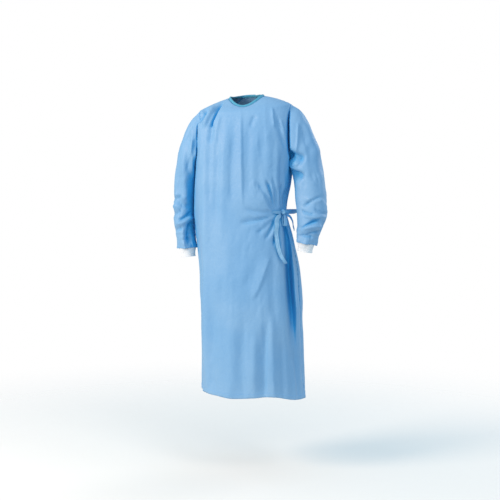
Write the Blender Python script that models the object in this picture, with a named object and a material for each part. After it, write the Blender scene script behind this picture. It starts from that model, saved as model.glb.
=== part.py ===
# Surgical gown, worn and tied, with nobody in it.
# Metres, +Z up. The front faces -Y and the wearer's left is +X.
# The origin is at the base of the neck, where the shoulders carry the gown.
import math

import bmesh
import bpy
import numpy as np

WALL = 0.0016  # cloth wall
SEAM_GAP = 0.0003  # between two pieces that are sewn together
RING_GAP = 0.0005  # the same where a tube is set into another piece
LAYER_GAP = 0.0035  # from the outer back panel in to the inner one, face to face
UNDERARM = -0.290  # level of the armhole's lowest point
SHOULDER_POINT = -0.042  # level of the armhole's highest point
HEM = -1.190  # level of the hem
ARMHOLE_X = {"left": 0.182, "right": 0.190}  # each armhole lies in an upright plane
ARMHOLE_CURVE = 0.070  # height over which an armhole curves out to the side seam
SHOULDER_TILT = 0.05  # the left shoulder stands higher than the right one
VIEW_TURN = math.radians(12.0)  # creases are placed on a plane turned this far to the left

LOWER_ROWS = 16  # hem to underarm
ARMHOLE_ROWS = 9  # underarm to shoulder point; the sleeve has twice as many sides
SHOULDER_ROWS = 5  # shoulder point to neckline
FRONT_COLUMNS = 32
BACK_COLUMNS = 18
SLEEVE_RINGS = 20
DENSE = 240  # points along a row while it is measured

HEM_WAVE_HEIGHT = 0.30  # the hem's wave fades out this far up
LIFT_SPAN = 50.0  # degrees before its free edge over which the outer back panel stands off
TUCK_AHEAD, TUCK_SPAN = 20.0, 17.0  # degrees over which the inner back panel passes under it
CREASE_END = 0.3  # share of a crease's length over which each end fades
FACING_FADE = 0.3  # creases fade where the cloth turns this far from their plane
HIDDEN_CREASES = 0.7  # depth of a sleeve's creases behind, next to those in front
SLEEVE_SQUARE = 0.85  # 1 is a round sleeve, less is a squarer one
SLEEVE_JOIN = 0.30  # share of the sleeve's length over which it takes its armhole's shape
PLEAT_SHARE, PLEAT_SPAN = 0.17, 0.11  # shares of the front's width where columns are closer
PLEAT_DENSITY = 1.6  # and how much closer, beyond the usual spacing

BINDING_HEIGHT = 0.009
BINDING_WALL = 0.0026
BINDING_STAND = 0.9  # how far the binding turns upright from the cloth's slope
CUFF_LENGTH = {"left": 0.034, "right": 0.036}
CUFF_END_SCALE = 0.84
CUFF_RINGS = 3
GATHERS = 7  # pleats where a sleeve meets its cuff
GATHER_DEPTH = 0.0016
TIE_WALL = 0.0014
TIE_STEP = 0.012  # length of one segment of a tie
KNOT_ANGLE, KNOT_LEVEL, KNOT_OUT = 22.0, -0.4622, 0.0082
KNOT_SIZE = (0.030, 0.014, 0.022)  # along the belt, out from the cloth, upwards

CLOTH_BLUE = (0.22, 0.47, 0.75, 1.0)
TIE_BLUE = (0.28, 0.53, 0.80, 1.0)
BINDING_TEAL = (0.08, 0.45, 0.62, 1.0)
KNIT_WHITE = (0.87, 0.89, 0.92, 1.0)

# Sections of the body of the gown: half widths to the wearer's left and right, depths to the
# front and back, how square the section is, and how far its front and back leave its level.
TORSO_COLUMNS = ("level", "left", "right", "front", "back", "square", "front_z", "back_z")
TORSO = (
    (-1.190, 0.240, 0.186, 0.152, 0.150, 2.2, 0.000, 0.000),
    (-1.060, 0.227, 0.1865, 0.149, 0.146, 2.25, 0.000, 0.000),
    (-0.930, 0.2205, 0.187, 0.146, 0.142, 2.3, 0.000, 0.000),
    (-0.800, 0.2175, 0.188, 0.143, 0.138, 2.35, 0.000, 0.000),
    (-0.720, 0.210, 0.190, 0.141, 0.135, 2.4, 0.000, 0.000),
    (-0.620, 0.197, 0.197, 0.137, 0.131, 2.4, 0.000, 0.000),
    (-0.550, 0.183, 0.206, 0.134, 0.127, 2.45, 0.000, 0.000),
    (-0.500, 0.169, 0.210, 0.131, 0.123, 2.5, 0.000, 0.000),
    (-0.460, 0.161, 0.212, 0.129, 0.121, 2.5, 0.000, 0.000),
    (-0.410, 0.166, 0.212, 0.129, 0.121, 2.55, 0.000, 0.000),
    (-0.350, 0.178, 0.211, 0.128, 0.122, 2.6, 0.000, 0.000),
    (-0.290, 0.184, 0.207, 0.126, 0.120, 2.65, 0.000, 0.000),
    (-0.250, 0.190, 0.208, 0.124, 0.119, 2.7, 0.000, 0.000),
    (-0.200, 0.198, 0.211, 0.122, 0.117, 2.7, 0.000, 0.000),
    (-0.150, 0.204, 0.214, 0.118, 0.113, 2.65, 0.000, 0.000),
    (-0.105, 0.204, 0.213, 0.112, 0.107, 2.55, -0.006, 0.000),
    (-0.075, 0.198, 0.206, 0.107, 0.101, 2.45, -0.012, 0.000),
    (-0.055, 0.190, 0.197, 0.103, 0.097, 2.35, -0.018, 0.000),
    (-0.042, 0.182, 0.190, 0.100, 0.093, 2.3, -0.022, 0.000),
    (-0.030, 0.160, 0.163, 0.095, 0.087, 2.2, -0.028, 0.002),
    (-0.018, 0.130, 0.130, 0.089, 0.080, 2.15, -0.034, 0.004),
    (-0.008, 0.099, 0.099, 0.082, 0.072, 2.05, -0.040, 0.006),
    (0.000, 0.071, 0.071, 0.075, 0.065, 2.0, -0.044, 0.008),
)

# The hem is not level: rise at each angle round the body, 0 at the wearer's left, 90 in front.
HEM_COLUMNS = ("angle", "rise")
HEM_WAVE = (
    (0, -0.020), (35, -0.012), (60, 0.003), (78, -0.001), (95, -0.006), (118, 0.000),
    (150, 0.006), (180, 0.012), (225, 0.002), (270, -0.006), (315, -0.008), (360, -0.020),
)

# Free edges of the back panels, as angles round the body. The outer one is sewn at the right
# side and the inner one at the left side, and they lie over each other across the back.
EDGE_COLUMNS = ("level", "outer", "inner", "lift")
BACK_EDGES = (
    (-1.190, 312, 238, 0.010),
    (-0.800, 317, 236, 0.012),
    (-0.560, 322, 235, 0.012),
    (-0.460, 324, 235, 0.010),
    (-0.350, 316, 237, 0.006),
    (-0.200, 303, 240, 0.003),
    (-0.042, 294, 243, 0.000),
    (0.000, 291, 246, 0.000),
)

# Creases of the body. Across is measured on the plane turned by VIEW_TURN, height is Z.
# A negative depth is a trough and a positive one a ridge.
CREASE_COLUMNS = ("across_1", "height_1", "across_2", "height_2", "depth", "width")
FRONT_CREASES = (
    (0.142, -0.515, 0.158, -0.715, -0.020, 0.012),
    (0.158, -0.700, 0.182, -0.985, -0.024, 0.014),
    (0.183, -0.960, 0.205, -1.215, -0.010, 0.014),
    (0.128, -0.640, 0.152, -0.940, 0.010, 0.014),
    (0.203, -0.750, 0.208, -1.020, 0.006, 0.011),
    (-0.101, -0.024, -0.154, -0.134, -0.010, 0.009),
    (-0.150, -0.052, -0.200, -0.142, -0.010, 0.010),
    (0.101, -0.006, 0.110, -0.109, 0.006, 0.010),
    (0.117, -0.085, 0.150, -0.210, -0.006, 0.011),
    (0.178, -0.060, 0.170, -0.290, -0.006, 0.009),
    (0.061, -0.170, 0.045, -0.400, -0.005, 0.020),
    (-0.077, -0.110, -0.101, -0.530, 0.006, 0.020),
    (-0.164, -0.170, -0.166, -0.610, 0.006, 0.016),
    (0.109, -0.446, 0.045, -0.332, -0.009, 0.011),
    (0.121, -0.440, 0.093, -0.324, -0.009, 0.010),
    (0.108, -0.466, -0.028, -0.502, -0.009, 0.012),
    (0.117, -0.478, 0.061, -0.567, -0.007, 0.011),
    (0.081, -0.664, 0.020, -0.800, 0.007, 0.015),
    (0.077, -0.890, 0.069, -1.215, -0.010, 0.019),
    (0.117, -0.940, 0.130, -1.215, 0.007, 0.017),
    (-0.061, -0.900, -0.061, -1.215, 0.006, 0.022),
    (-0.130, -0.810, -0.134, -1.215, -0.006, 0.019),
)
BACK_CREASES = (
    (-0.140, -0.090, -0.100, -0.420, -0.007, 0.015),
    (0.120, -0.100, 0.080, -0.400, -0.007, 0.015),
    (-0.020, -0.100, -0.030, -0.480, 0.006, 0.020),
    (0.130, -0.455, 0.000, -0.400, -0.008, 0.012),
    (0.130, -0.470, 0.010, -0.560, -0.008, 0.012),
    (-0.150, -0.560, -0.140, -1.215, -0.012, 0.020),
    (-0.060, -0.600, -0.055, -1.215, 0.012, 0.024),
    (0.030, -0.620, 0.045, -1.215, -0.012, 0.020),
    (0.120, -0.660, 0.150, -1.215, 0.010, 0.020),
)

# Sections of each sleeve: its outer and inner points, the middle of its depth and half of it.
SLEEVE_COLUMNS = ("along", "outer_x", "outer_z", "inner_x", "inner_z", "mid_y", "half_depth")
SLEEVES = {
    "left": (
        (0.00, 0.182, -0.033, 0.184, -0.290, 0.000, 0.078),
        (0.10, 0.221, -0.058, 0.187, -0.303, -0.002, 0.081),
        (0.20, 0.251, -0.106, 0.191, -0.320, -0.005, 0.080),
        (0.32, 0.281, -0.180, 0.196, -0.342, -0.009, 0.077),
        (0.44, 0.305, -0.262, 0.200, -0.374, -0.013, 0.072),
        (0.58, 0.318, -0.348, 0.203, -0.416, -0.018, 0.068),
        (0.70, 0.328, -0.426, 0.208, -0.464, -0.025, 0.065),
        (0.82, 0.326, -0.490, 0.214, -0.512, -0.034, 0.061),
        (0.91, 0.307, -0.542, 0.211, -0.544, -0.043, 0.051),
        (1.00, 0.283, -0.589, 0.215, -0.577, -0.050, 0.036),
    ),
    "right": (
        (0.00, -0.190, -0.051, -0.207, -0.290, 0.000, 0.078),
        (0.10, -0.224, -0.084, -0.210, -0.304, 0.001, 0.081),
        (0.20, -0.250, -0.126, -0.213, -0.320, 0.003, 0.079),
        (0.32, -0.277, -0.190, -0.216, -0.344, 0.007, 0.075),
        (0.44, -0.296, -0.266, -0.218, -0.378, 0.011, 0.070),
        (0.58, -0.306, -0.352, -0.221, -0.422, 0.013, 0.067),
        (0.70, -0.307, -0.428, -0.222, -0.470, 0.011, 0.064),
        (0.82, -0.303, -0.500, -0.221, -0.522, 0.005, 0.058),
        (0.91, -0.295, -0.556, -0.217, -0.566, -0.002, 0.050),
        (1.00, -0.283, -0.610, -0.213, -0.606, -0.008, 0.037),
    ),
}
SLEEVE_CREASES = {
    "left": (
        (0.208, -0.200, 0.200, -0.320, -0.008, 0.014),
        (0.231, -0.409, 0.316, -0.433, -0.007, 0.008),
        (0.215, -0.486, 0.290, -0.506, -0.008, 0.008),
        (0.210, -0.530, 0.290, -0.518, 0.007, 0.010),
        (0.205, -0.560, 0.275, -0.556, -0.005, 0.008),
        (0.224, -0.105, 0.280, -0.250, 0.004, 0.016),
    ),
    "right": (
        (-0.283, -0.520, -0.219, -0.490, 0.008, 0.010),
        (-0.222, -0.510, -0.230, -0.575, -0.009, 0.010),
        (-0.290, -0.415, -0.225, -0.440, -0.006, 0.009),
        (-0.232, -0.130, -0.238, -0.300, -0.005, 0.014),
        (-0.275, -0.290, -0.268, -0.470, -0.004, 0.014),
    ),
}

# Routes of the belt's stretches: angle round the body, height, distance out from the cloth, how
# far the tie is turned from lying flat on the cloth, and its width there.
TIE_COLUMNS = ("angle", "height", "out", "turn", "width")
TIES = {
    "belt_front_tie": (
        (44.5, -0.4612, 0.0034, 0, 0.014), (38.0, -0.4615, 0.0044, 0, 0.015),
        (28.2, -0.4614, 0.0072, 0, 0.011),
    ),
    "belt_back_tie": (
        (15.9, -0.4605, 0.0088, 0, 0.012), (6.0, -0.4610, 0.0180, 25, 0.018),
        (-8.0, -0.4625, 0.0380, 55, 0.020), (-20.0, -0.4630, 0.0500, 55, 0.020),
        (-28.0, -0.4630, 0.0400, 25, 0.020), (-34.0, -0.4620, 0.0225, 8, 0.020),
        (-37.0, -0.4620, 0.0128, 0, 0.020), (-41.0, -0.4620, 0.0114, 0, 0.020),
    ),
    "belt_end_long": (
        (26.6, -0.4712, 0.0085, 0, 0.012), (34.5, -0.4880, 0.0105, 0, 0.018),
        (43.4, -0.5216, 0.0100, 8, 0.020), (46.7, -0.5577, 0.0100, 10, 0.020),
        (46.2, -0.5937, 0.0120, 10, 0.020), (42.9, -0.6350, 0.0150, 25, 0.019),
        (37.4, -0.6634, 0.0190, 50, 0.018),
    ),
    "belt_loop": (
        (21.5, -0.4745, 0.0135, 0, 0.013), (24.0, -0.4920, 0.0175, 0, 0.020),
        (26.0, -0.5100, 0.0175, 0, 0.021), (27.0, -0.5185, 0.0135, 0, 0.021),
        (26.0, -0.5100, 0.0098, 0, 0.021), (24.0, -0.4920, 0.0085, 0, 0.020),
        (21.5, -0.4755, 0.0080, 0, 0.013),
    ),
    "belt_end_short": (
        (13.4, -0.4746, 0.0110, 0, 0.012), (8.5, -0.4840, 0.0185, 0, 0.016),
        (6.0, -0.5020, 0.0225, 0, 0.018), (4.5, -0.5240, 0.0215, 0, 0.018),
        (4.0, -0.5400, 0.0200, 0, 0.018),
    ),
}


def smooth_step(value):
    value = np.clip(value, 0.0, 1.0)
    return value * value * (3.0 - 2.0 * value)


def read(table, columns, name, at):
    """A column of a table as a smooth curve, at the given values of the first column."""
    marks = np.array([row[0] for row in table], float)
    values = np.array([row[columns.index(name)] for row in table], float)
    slopes = np.gradient(values, marks)
    at = np.clip(np.asarray(at, float), marks[0], marks[-1])
    k = np.clip(np.searchsorted(marks, at, side="right") - 1, 0, len(marks) - 2)
    span = marks[k + 1] - marks[k]
    u = (at - marks[k]) / span
    start = (1 + 2 * u) * (1 - u) ** 2 * values[k] + u * (1 - u) ** 2 * span * slopes[k]
    end = u * u * (3 - 2 * u) * values[k + 1] + u * u * (u - 1) * span * slopes[k + 1]
    return start + end


def rounded(value, power):
    return np.sign(value) * np.abs(value) ** power


def body_form(angle, level):
    """The gown's body before its creases, at angles round it and levels."""
    torso = {name: read(TORSO, TORSO_COLUMNS, name, level) for name in TORSO_COLUMNS[1:]}
    turn = np.radians(angle)
    power = 2.0 / torso["square"]
    x = rounded(np.cos(turn), power)
    y = -rounded(np.sin(turn), power)
    facing = np.sin(turn) ** 2
    dip = np.where(y < 0, torso["front_z"], torso["back_z"]) * facing
    x = x * np.where(x > 0, torso["left"], torso["right"])
    y = y * np.where(y < 0, torso["front"], torso["back"])
    low = smooth_step((HEM + HEM_WAVE_HEIGHT - level) / HEM_WAVE_HEIGHT)
    high = smooth_step((level - UNDERARM) / (SHOULDER_POINT - UNDERARM))
    wave = read(HEM_WAVE, HEM_COLUMNS, "rise", np.mod(angle, 360.0))
    z = level + dip + wave * low + SHOULDER_TILT * x * high
    return np.stack([x, y, z], axis=-1)


def outward(form, u, v, step_u, step_v):
    """Unit normals of a form, pointing out of the gown."""
    along_u = form(u + step_u, v) - form(u - step_u, v)
    along_v = form(u, v + step_v) - form(u, v - step_v)
    normal = np.cross(along_v, along_u)
    return normal / np.linalg.norm(normal, axis=-1, keepdims=True)


def crease(points, normals, table, side):
    """Distance that creases move each point. Side is 1 for creases in front, -1 behind."""
    across = points[..., 0] * math.cos(VIEW_TURN) + points[..., 1] * math.sin(VIEW_TURN)
    height = points[..., 2]
    facing = normals[..., 0] * math.sin(VIEW_TURN) - normals[..., 1] * math.cos(VIEW_TURN)
    seen = smooth_step(side * facing / FACING_FADE)
    moved = np.zeros(across.shape)
    for values in table:
        row = dict(zip(CREASE_COLUMNS, values))
        run = np.array([row["across_2"] - row["across_1"], row["height_2"] - row["height_1"]])
        length = np.linalg.norm(run)
        run /= length
        from_x, from_z = across - row["across_1"], height - row["height_1"]
        along = from_x * run[0] + from_z * run[1]
        aside = from_x * run[1] - from_z * run[0]
        fade = CREASE_END * length
        ends = smooth_step(along / fade + 0.25) * smooth_step((length - along) / fade + 0.25)
        moved += row["depth"] * ends * np.exp(-((aside / row["width"]) ** 2))
    return moved * seen


def body(angle, level, out=0.0):
    """Points on the outer face of the gown's body, moved out from it."""
    angle, level = np.broadcast_arrays(np.asarray(angle, float), np.asarray(level, float))
    points = body_form(angle, level)
    normals = outward(body_form, angle, level, 0.5, 0.0005)
    moved = crease(points, normals, FRONT_CREASES, 1) + crease(points, normals, BACK_CREASES, -1)
    return points + normals * (moved + out)[..., None]


def body_levels():
    lower = np.linspace(HEM, UNDERARM, LOWER_ROWS + 1)
    middle, half = (UNDERARM + SHOULDER_POINT) / 2, (SHOULDER_POINT - UNDERARM) / 2
    armhole = middle - half * np.cos(np.pi * np.arange(1, ARMHOLE_ROWS) / ARMHOLE_ROWS)
    upper = np.linspace(SHOULDER_POINT, 0.0, SHOULDER_ROWS + 1)
    return np.concatenate([lower, armhole, upper])


def armhole_angle(side, level):
    """How far round from the side the armhole's plane cuts a section, in degrees."""
    if not UNDERARM < level < SHOULDER_POINT:
        return 0.0
    half_width = float(read(TORSO, TORSO_COLUMNS, side, level))
    closing = 1.0 - float(smooth_step((level - UNDERARM) / ARMHOLE_CURVE))
    plane = min(ARMHOLE_X[side], half_width)
    reach = (plane + (half_width - plane) * closing) / half_width
    power = float(read(TORSO, TORSO_COLUMNS, "square", level)) / 2.0
    return math.degrees(math.acos(reach**power))


def spaced(start, end, level, shares, layer):
    """Angles on one row, at the given shares of its length."""
    dense = np.linspace(start, end, DENSE)
    row = body(dense, level, layer(dense, level))
    steps = np.linalg.norm(np.diff(row, axis=0), axis=1)
    length = np.concatenate([[0.0], np.cumsum(steps)])
    gap = SEAM_GAP / 2
    targets = gap + np.asarray(shares) * (length[-1] - 2 * gap)
    return np.interp(targets, length, dense)


def panel(start, end, shares, layer):
    """Points of one panel, row by row from its hem up, with its edges given by functions."""
    rows = []
    for level in body_levels():
        angles = spaced(start(level), end(level), level, shares, layer)
        rows.append(body(angles, level, layer(angles, level)))
    return np.array(rows)


def front_shares():
    """Columns of the front panel, closer together at the deep pleat under the knot."""
    dense = np.linspace(0.0, 1.0, DENSE)
    density = 1.0 + PLEAT_DENSITY * np.exp(-(((dense - PLEAT_SHARE) / PLEAT_SPAN) ** 2))
    total = np.concatenate([[0.0], np.cumsum((density[1:] + density[:-1]) / 2)])
    return np.interp(np.linspace(0, 1, FRONT_COLUMNS + 1), total / total[-1], dense)


def front_layer(angle, level):
    """How far the front panel stands off the body's form."""
    return np.zeros(np.shape(angle))


def outer_layer(angle, level):
    """The outer back panel stands off more and more towards its free edge."""
    edge = read(BACK_EDGES, EDGE_COLUMNS, "outer", level)
    lift = read(BACK_EDGES, EDGE_COLUMNS, "lift", level)
    return lift * smooth_step((angle - edge + LIFT_SPAN) / LIFT_SPAN)


def inner_layer(angle, level):
    """The inner panel passes under the outer one's free edge."""
    edge = read(BACK_EDGES, EDGE_COLUMNS, "outer", level)
    return -(WALL + LAYER_GAP) * smooth_step((edge + TUCK_AHEAD - angle) / TUCK_SPAN)


def back_edge(name):
    return lambda level: float(read(BACK_EDGES, EDGE_COLUMNS, name, level))


def front_panel():
    return panel(
        lambda level: armhole_angle("left", level),
        lambda level: 180.0 - armhole_angle("right", level),
        front_shares(),
        front_layer,
    )


def outer_back_panel():
    shares = np.linspace(0, 1, BACK_COLUMNS + 1)
    start = lambda level: 180.0 + armhole_angle("right", level)
    return panel(start, back_edge("outer"), shares, outer_layer)


def inner_back_panel():
    shares = np.linspace(0, 1, BACK_COLUMNS + 1)
    end = lambda level: 360.0 - armhole_angle("left", level)
    return panel(back_edge("inner"), end, shares, inner_layer)


def armhole_ring(front_edge, back_edge_points):
    """The armhole as a ring from its top, down in front and up behind."""
    rows = slice(LOWER_ROWS, LOWER_ROWS + ARMHOLE_ROWS + 1)
    front = front_edge[rows][::-1].copy()
    back = back_edge_points[rows].copy()
    front[0] = (front[0] + back[-1]) / 2
    front[-1] = (front[-1] + back[0]) / 2
    return np.concatenate([front, back[1:-1]])


def sleeve_form(side):
    """A sleeve as sections, before it is joined to its armhole."""

    def form(along, turn):
        cut = {n: read(SLEEVES[side], SLEEVE_COLUMNS, n, along) for n in SLEEVE_COLUMNS[1:]}
        share = (1 + np.cos(turn)) / 2
        x = cut["inner_x"] + (cut["outer_x"] - cut["inner_x"]) * share
        z = cut["inner_z"] + (cut["outer_z"] - cut["inner_z"]) * share
        y = cut["mid_y"] - cut["half_depth"] * rounded(np.sin(turn), SLEEVE_SQUARE)
        return np.stack([x, y, z], axis=-1)

    return form


def sleeve_points(side, ring):
    """Rings of a sleeve from the armhole to the cuff seam."""
    form = sleeve_form(side)
    sides = len(ring)
    along = np.linspace(0, 1, SLEEVE_RINGS + 1)[:, None]
    turn = np.linspace(0, 2 * np.pi, sides, endpoint=False)[None, :]
    along, turn = np.broadcast_arrays(along, turn)
    points = form(along, turn)
    fade = 1 - smooth_step(along / SLEEVE_JOIN)
    points = points + (ring - points[0])[None] * fade[..., None]
    normals = outward(form, np.clip(along, 0.01, 0.99), turn, 0.01, 0.02)
    if side == "right":
        normals = -normals
    moved = crease(points, normals, SLEEVE_CREASES[side], 1)
    moved += HIDDEN_CREASES * crease(points, normals, SLEEVE_CREASES[side], -1)
    moved *= smooth_step(along / 0.08) * smooth_step((1 - along) / 0.06)
    moved += GATHER_DEPTH * np.cos(GATHERS * turn) * smooth_step((along - 0.86) / 0.12)
    points = points + normals * moved[..., None]
    points[0] += np.array([math.copysign(RING_GAP, points[0, 0, 0]), 0, 0])
    return points


def cuff_points(sleeve, length):
    """Rings of a knit cuff, from the sleeve's last ring on."""
    middle = sleeve[-1].mean(axis=0)
    way = middle - sleeve[-3].mean(axis=0)
    way = way / np.linalg.norm(way) + np.array([0.0, 0.0, -1.0])
    way /= np.linalg.norm(way)
    rings = []
    for k in range(CUFF_RINGS + 1):
        share = k / CUFF_RINGS
        scale = 1 + (CUFF_END_SCALE - 1) * smooth_step(share * 1.5)
        level = way * (RING_GAP + length * share)
        rings.append(middle + (sleeve[-1] - middle) * scale + level)
    return np.array(rings)


def binding_points(front, outer, inner):
    """A band standing on the neckline, from the inner back edge round to the outer one."""
    parts = [inner[-2:], front[-2:], outer[-2:]]
    below = np.concatenate([part[0] for part in parts])
    edge = np.concatenate([part[1] for part in parts])
    up = (edge - below) / np.linalg.norm(edge - below, axis=1, keepdims=True)
    up = up + np.array([0.0, 0.0, BINDING_STAND])
    up /= np.linalg.norm(up, axis=1, keepdims=True)
    return np.array([edge + up * SEAM_GAP * 1.5, edge + up * BINDING_HEIGHT])


def tie_points(route):
    """Both edges of a flat tie along its route, which follows the cloth."""
    marks = np.arange(len(route), dtype=float)
    table = [(mark, *row) for mark, row in zip(marks, route)]
    columns = ("mark",) + TIE_COLUMNS

    def place(mark):
        angle, height, out = (read(table, columns, name, mark) for name in TIE_COLUMNS[:3])
        return body(angle, height, out), outward(body_form, angle, height, 0.5, 0.0005)

    dense = np.linspace(0, marks[-1], 200)
    length = np.cumsum(np.linalg.norm(np.diff(place(dense)[0], axis=0), axis=1))
    count = max(4, round(length[-1] / TIE_STEP))
    at = np.interp(np.linspace(0, length[-1], count + 1), np.append(0, length), dense)
    middle, facing = place(at)
    way = np.gradient(middle, axis=0)
    way /= np.linalg.norm(way, axis=1, keepdims=True)
    across = np.cross(way, facing)
    across /= np.linalg.norm(across, axis=1, keepdims=True)
    turn = np.radians(read(table, columns, "turn", at))[:, None]
    across = across * np.cos(turn) + np.cross(way, across) * np.sin(turn)
    half = read(table, columns, "width", at)[:, None] / 2
    return np.array([middle - across * half, middle + across * half])


def make_material(name, colour, roughness):
    material = bpy.data.materials.new(name)
    material.use_nodes = True
    shader = material.node_tree.nodes["Principled BSDF"]
    shader.inputs["Base Color"].default_value = colour
    shader.inputs["Roughness"].default_value = roughness
    shader.inputs["Metallic"].default_value = 0.0
    return material


def add_object(name, bm, material):
    mesh = bpy.data.meshes.new(name)
    bm.to_mesh(mesh)
    bm.free()
    mesh.shade_smooth()
    mesh.materials.append(material)
    thing = bpy.data.objects.new(name, mesh)
    bpy.context.scene.collection.objects.link(thing)
    return thing


def cloth(name, points, wall, material, tube=False, flip=False, middle=False):
    """A grid laid through rows of points and given its wall, inwards or about its middle."""
    if tube:
        points = np.concatenate([points, points[:, :1]], axis=1)
    rows, columns = points.shape[:2]
    bm = bmesh.new()
    bmesh.ops.create_grid(bm, x_segments=columns - 1, y_segments=rows - 1, size=1.0)
    for vert in bm.verts:
        column = round((vert.co.x + 1) / 2 * (columns - 1))
        row = round((vert.co.y + 1) / 2 * (rows - 1))
        vert.co = points[row, column]
    if tube:
        bmesh.ops.remove_doubles(bm, verts=bm.verts, dist=1e-6)
    if flip:
        bmesh.ops.reverse_faces(bm, faces=bm.faces)
    thing = add_object(name, bm, material)
    solidify = thing.modifiers.new("wall", "SOLIDIFY")
    solidify.thickness = wall
    solidify.offset = 0.0 if middle else -1.0
    return thing


def knot(material):
    """The knot, a squashed ball beside the cloth where the ties meet."""
    centre = body(KNOT_ANGLE, KNOT_LEVEL, KNOT_OUT)
    facing = outward(body_form, np.array(KNOT_ANGLE), np.array(KNOT_LEVEL), 0.5, 0.0005)
    bm = bmesh.new()
    bmesh.ops.create_uvsphere(bm, u_segments=12, v_segments=7, radius=0.5)
    turn = math.atan2(facing[1], facing[0]) + math.pi / 2
    for vert in bm.verts:
        along, out, up = (vert.co[i] * KNOT_SIZE[i] for i in range(3))
        x = along * math.cos(turn) - out * math.sin(turn)
        y = along * math.sin(turn) + out * math.cos(turn)
        vert.co = (centre[0] + x, centre[1] + y, centre[2] + up)
    return add_object("belt_knot", bm, material)


def clear_scene():
    for thing in list(bpy.data.objects):
        bpy.data.objects.remove(thing, do_unlink=True)


def main():
    clear_scene()
    blue = make_material("gown_cloth", CLOTH_BLUE, 0.6)
    teal = make_material("binding_cloth", BINDING_TEAL, 0.55)
    white = make_material("cuff_knit", KNIT_WHITE, 0.85)
    pale = make_material("tie_cloth", TIE_BLUE, 0.6)

    front = front_panel()
    outer = outer_back_panel()
    inner = inner_back_panel()
    cloth("gown_front", front, WALL, blue, flip=True)
    cloth("gown_back_right", outer, WALL, blue, flip=True)
    cloth("gown_back_left", inner, WALL, blue, flip=True)
    binding = binding_points(front, outer, inner)
    cloth("neck_binding", binding, BINDING_WALL, teal, flip=True)

    rings = {
        "left": armhole_ring(front[:, 0], inner[:, -1]),
        "right": armhole_ring(front[:, -1], outer[:, 0]),
    }
    for side, ring in rings.items():
        sleeve = sleeve_points(side, ring)
        turned = side == "right"
        cloth("sleeve_" + side, sleeve, WALL, blue, tube=True, flip=turned)
        knit = cuff_points(sleeve, CUFF_LENGTH[side])
        cloth("cuff_" + side, knit, WALL, white, tube=True, flip=turned)

    for name, route in TIES.items():
        cloth(name, tie_points(route), TIE_WALL, pale, middle=True)
    knot(pale)


main()
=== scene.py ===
# Surgical gown, worn and tied, with nobody in it: the cloth, seams and finish.
# Metres, +Z up. The front faces -Y and the wearer's left is +X.
import math

import bmesh
import bpy
import numpy as np
from mathutils import Matrix, Vector


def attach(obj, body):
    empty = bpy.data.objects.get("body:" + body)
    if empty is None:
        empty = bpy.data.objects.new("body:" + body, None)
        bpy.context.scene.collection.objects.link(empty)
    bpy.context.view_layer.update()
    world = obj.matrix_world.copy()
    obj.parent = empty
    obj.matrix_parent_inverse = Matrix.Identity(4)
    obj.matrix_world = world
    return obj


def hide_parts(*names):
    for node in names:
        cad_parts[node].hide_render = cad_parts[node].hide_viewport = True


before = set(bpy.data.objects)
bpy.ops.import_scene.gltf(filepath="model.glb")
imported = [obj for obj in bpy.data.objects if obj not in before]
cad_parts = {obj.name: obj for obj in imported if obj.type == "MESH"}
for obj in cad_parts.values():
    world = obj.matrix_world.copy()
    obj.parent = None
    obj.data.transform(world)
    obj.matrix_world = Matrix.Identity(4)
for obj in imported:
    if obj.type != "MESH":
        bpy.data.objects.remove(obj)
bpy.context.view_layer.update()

PIXEL = 0.00405  # metres of the gown in one pixel of the picture's frame
VIEW_TURN = math.radians(12.0)  # the camera stands this far round to the wearer's left
AWAY = np.array([-math.sin(VIEW_TURN), math.cos(VIEW_TURN), 0.0])  # straight away from it

# How thick and how fine the cloth is.
SHELL = 0.0007
FRONT_COLUMNS = 190
BACK_COLUMNS = 100
LOWER_ROWS = 160
ARMHOLE_ROWS = 68
SHOULDER_ROWS = 16
SLEEVE_RINGS = 140
CUFF_RINGS = 30
CUFF_SIDES = 288
DENSE = 300

# The gown's cut, as in its solids.
SEAM_GAP = 0.0003
LAYER_GAP = 0.0035
WALL = 0.0016
UNDERARM = -0.290
SHOULDER_POINT = -0.042
HEM = -1.190
ARMHOLE_X = {"left": 0.182, "right": 0.190}
ARMHOLE_CURVE = 0.070
SHOULDER_TILT = 0.05
HEM_WAVE_HEIGHT = 0.30
LIFT_SPAN = 50.0
TUCK_AHEAD, TUCK_SPAN = 20.0, 17.0
FACING_FADE = 0.3
SLEEVE_SQUARE = 0.85
SLEEVE_JOIN = 0.30
PLEAT_SHARE, PLEAT_SPAN, PLEAT_DENSITY, PLEAT_TOP = 0.19, 0.09, 2.6, -0.42
BINDING_HEIGHT = 0.009
BINDING_STAND = 0.9
CUFF_LENGTH = {"left": 0.034, "right": 0.036}
CUFF_END_SCALE = 0.84
KNOT_ANGLE, KNOT_LEVEL, KNOT_OUT = 22.0, -0.4622, 0.0082

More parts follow.
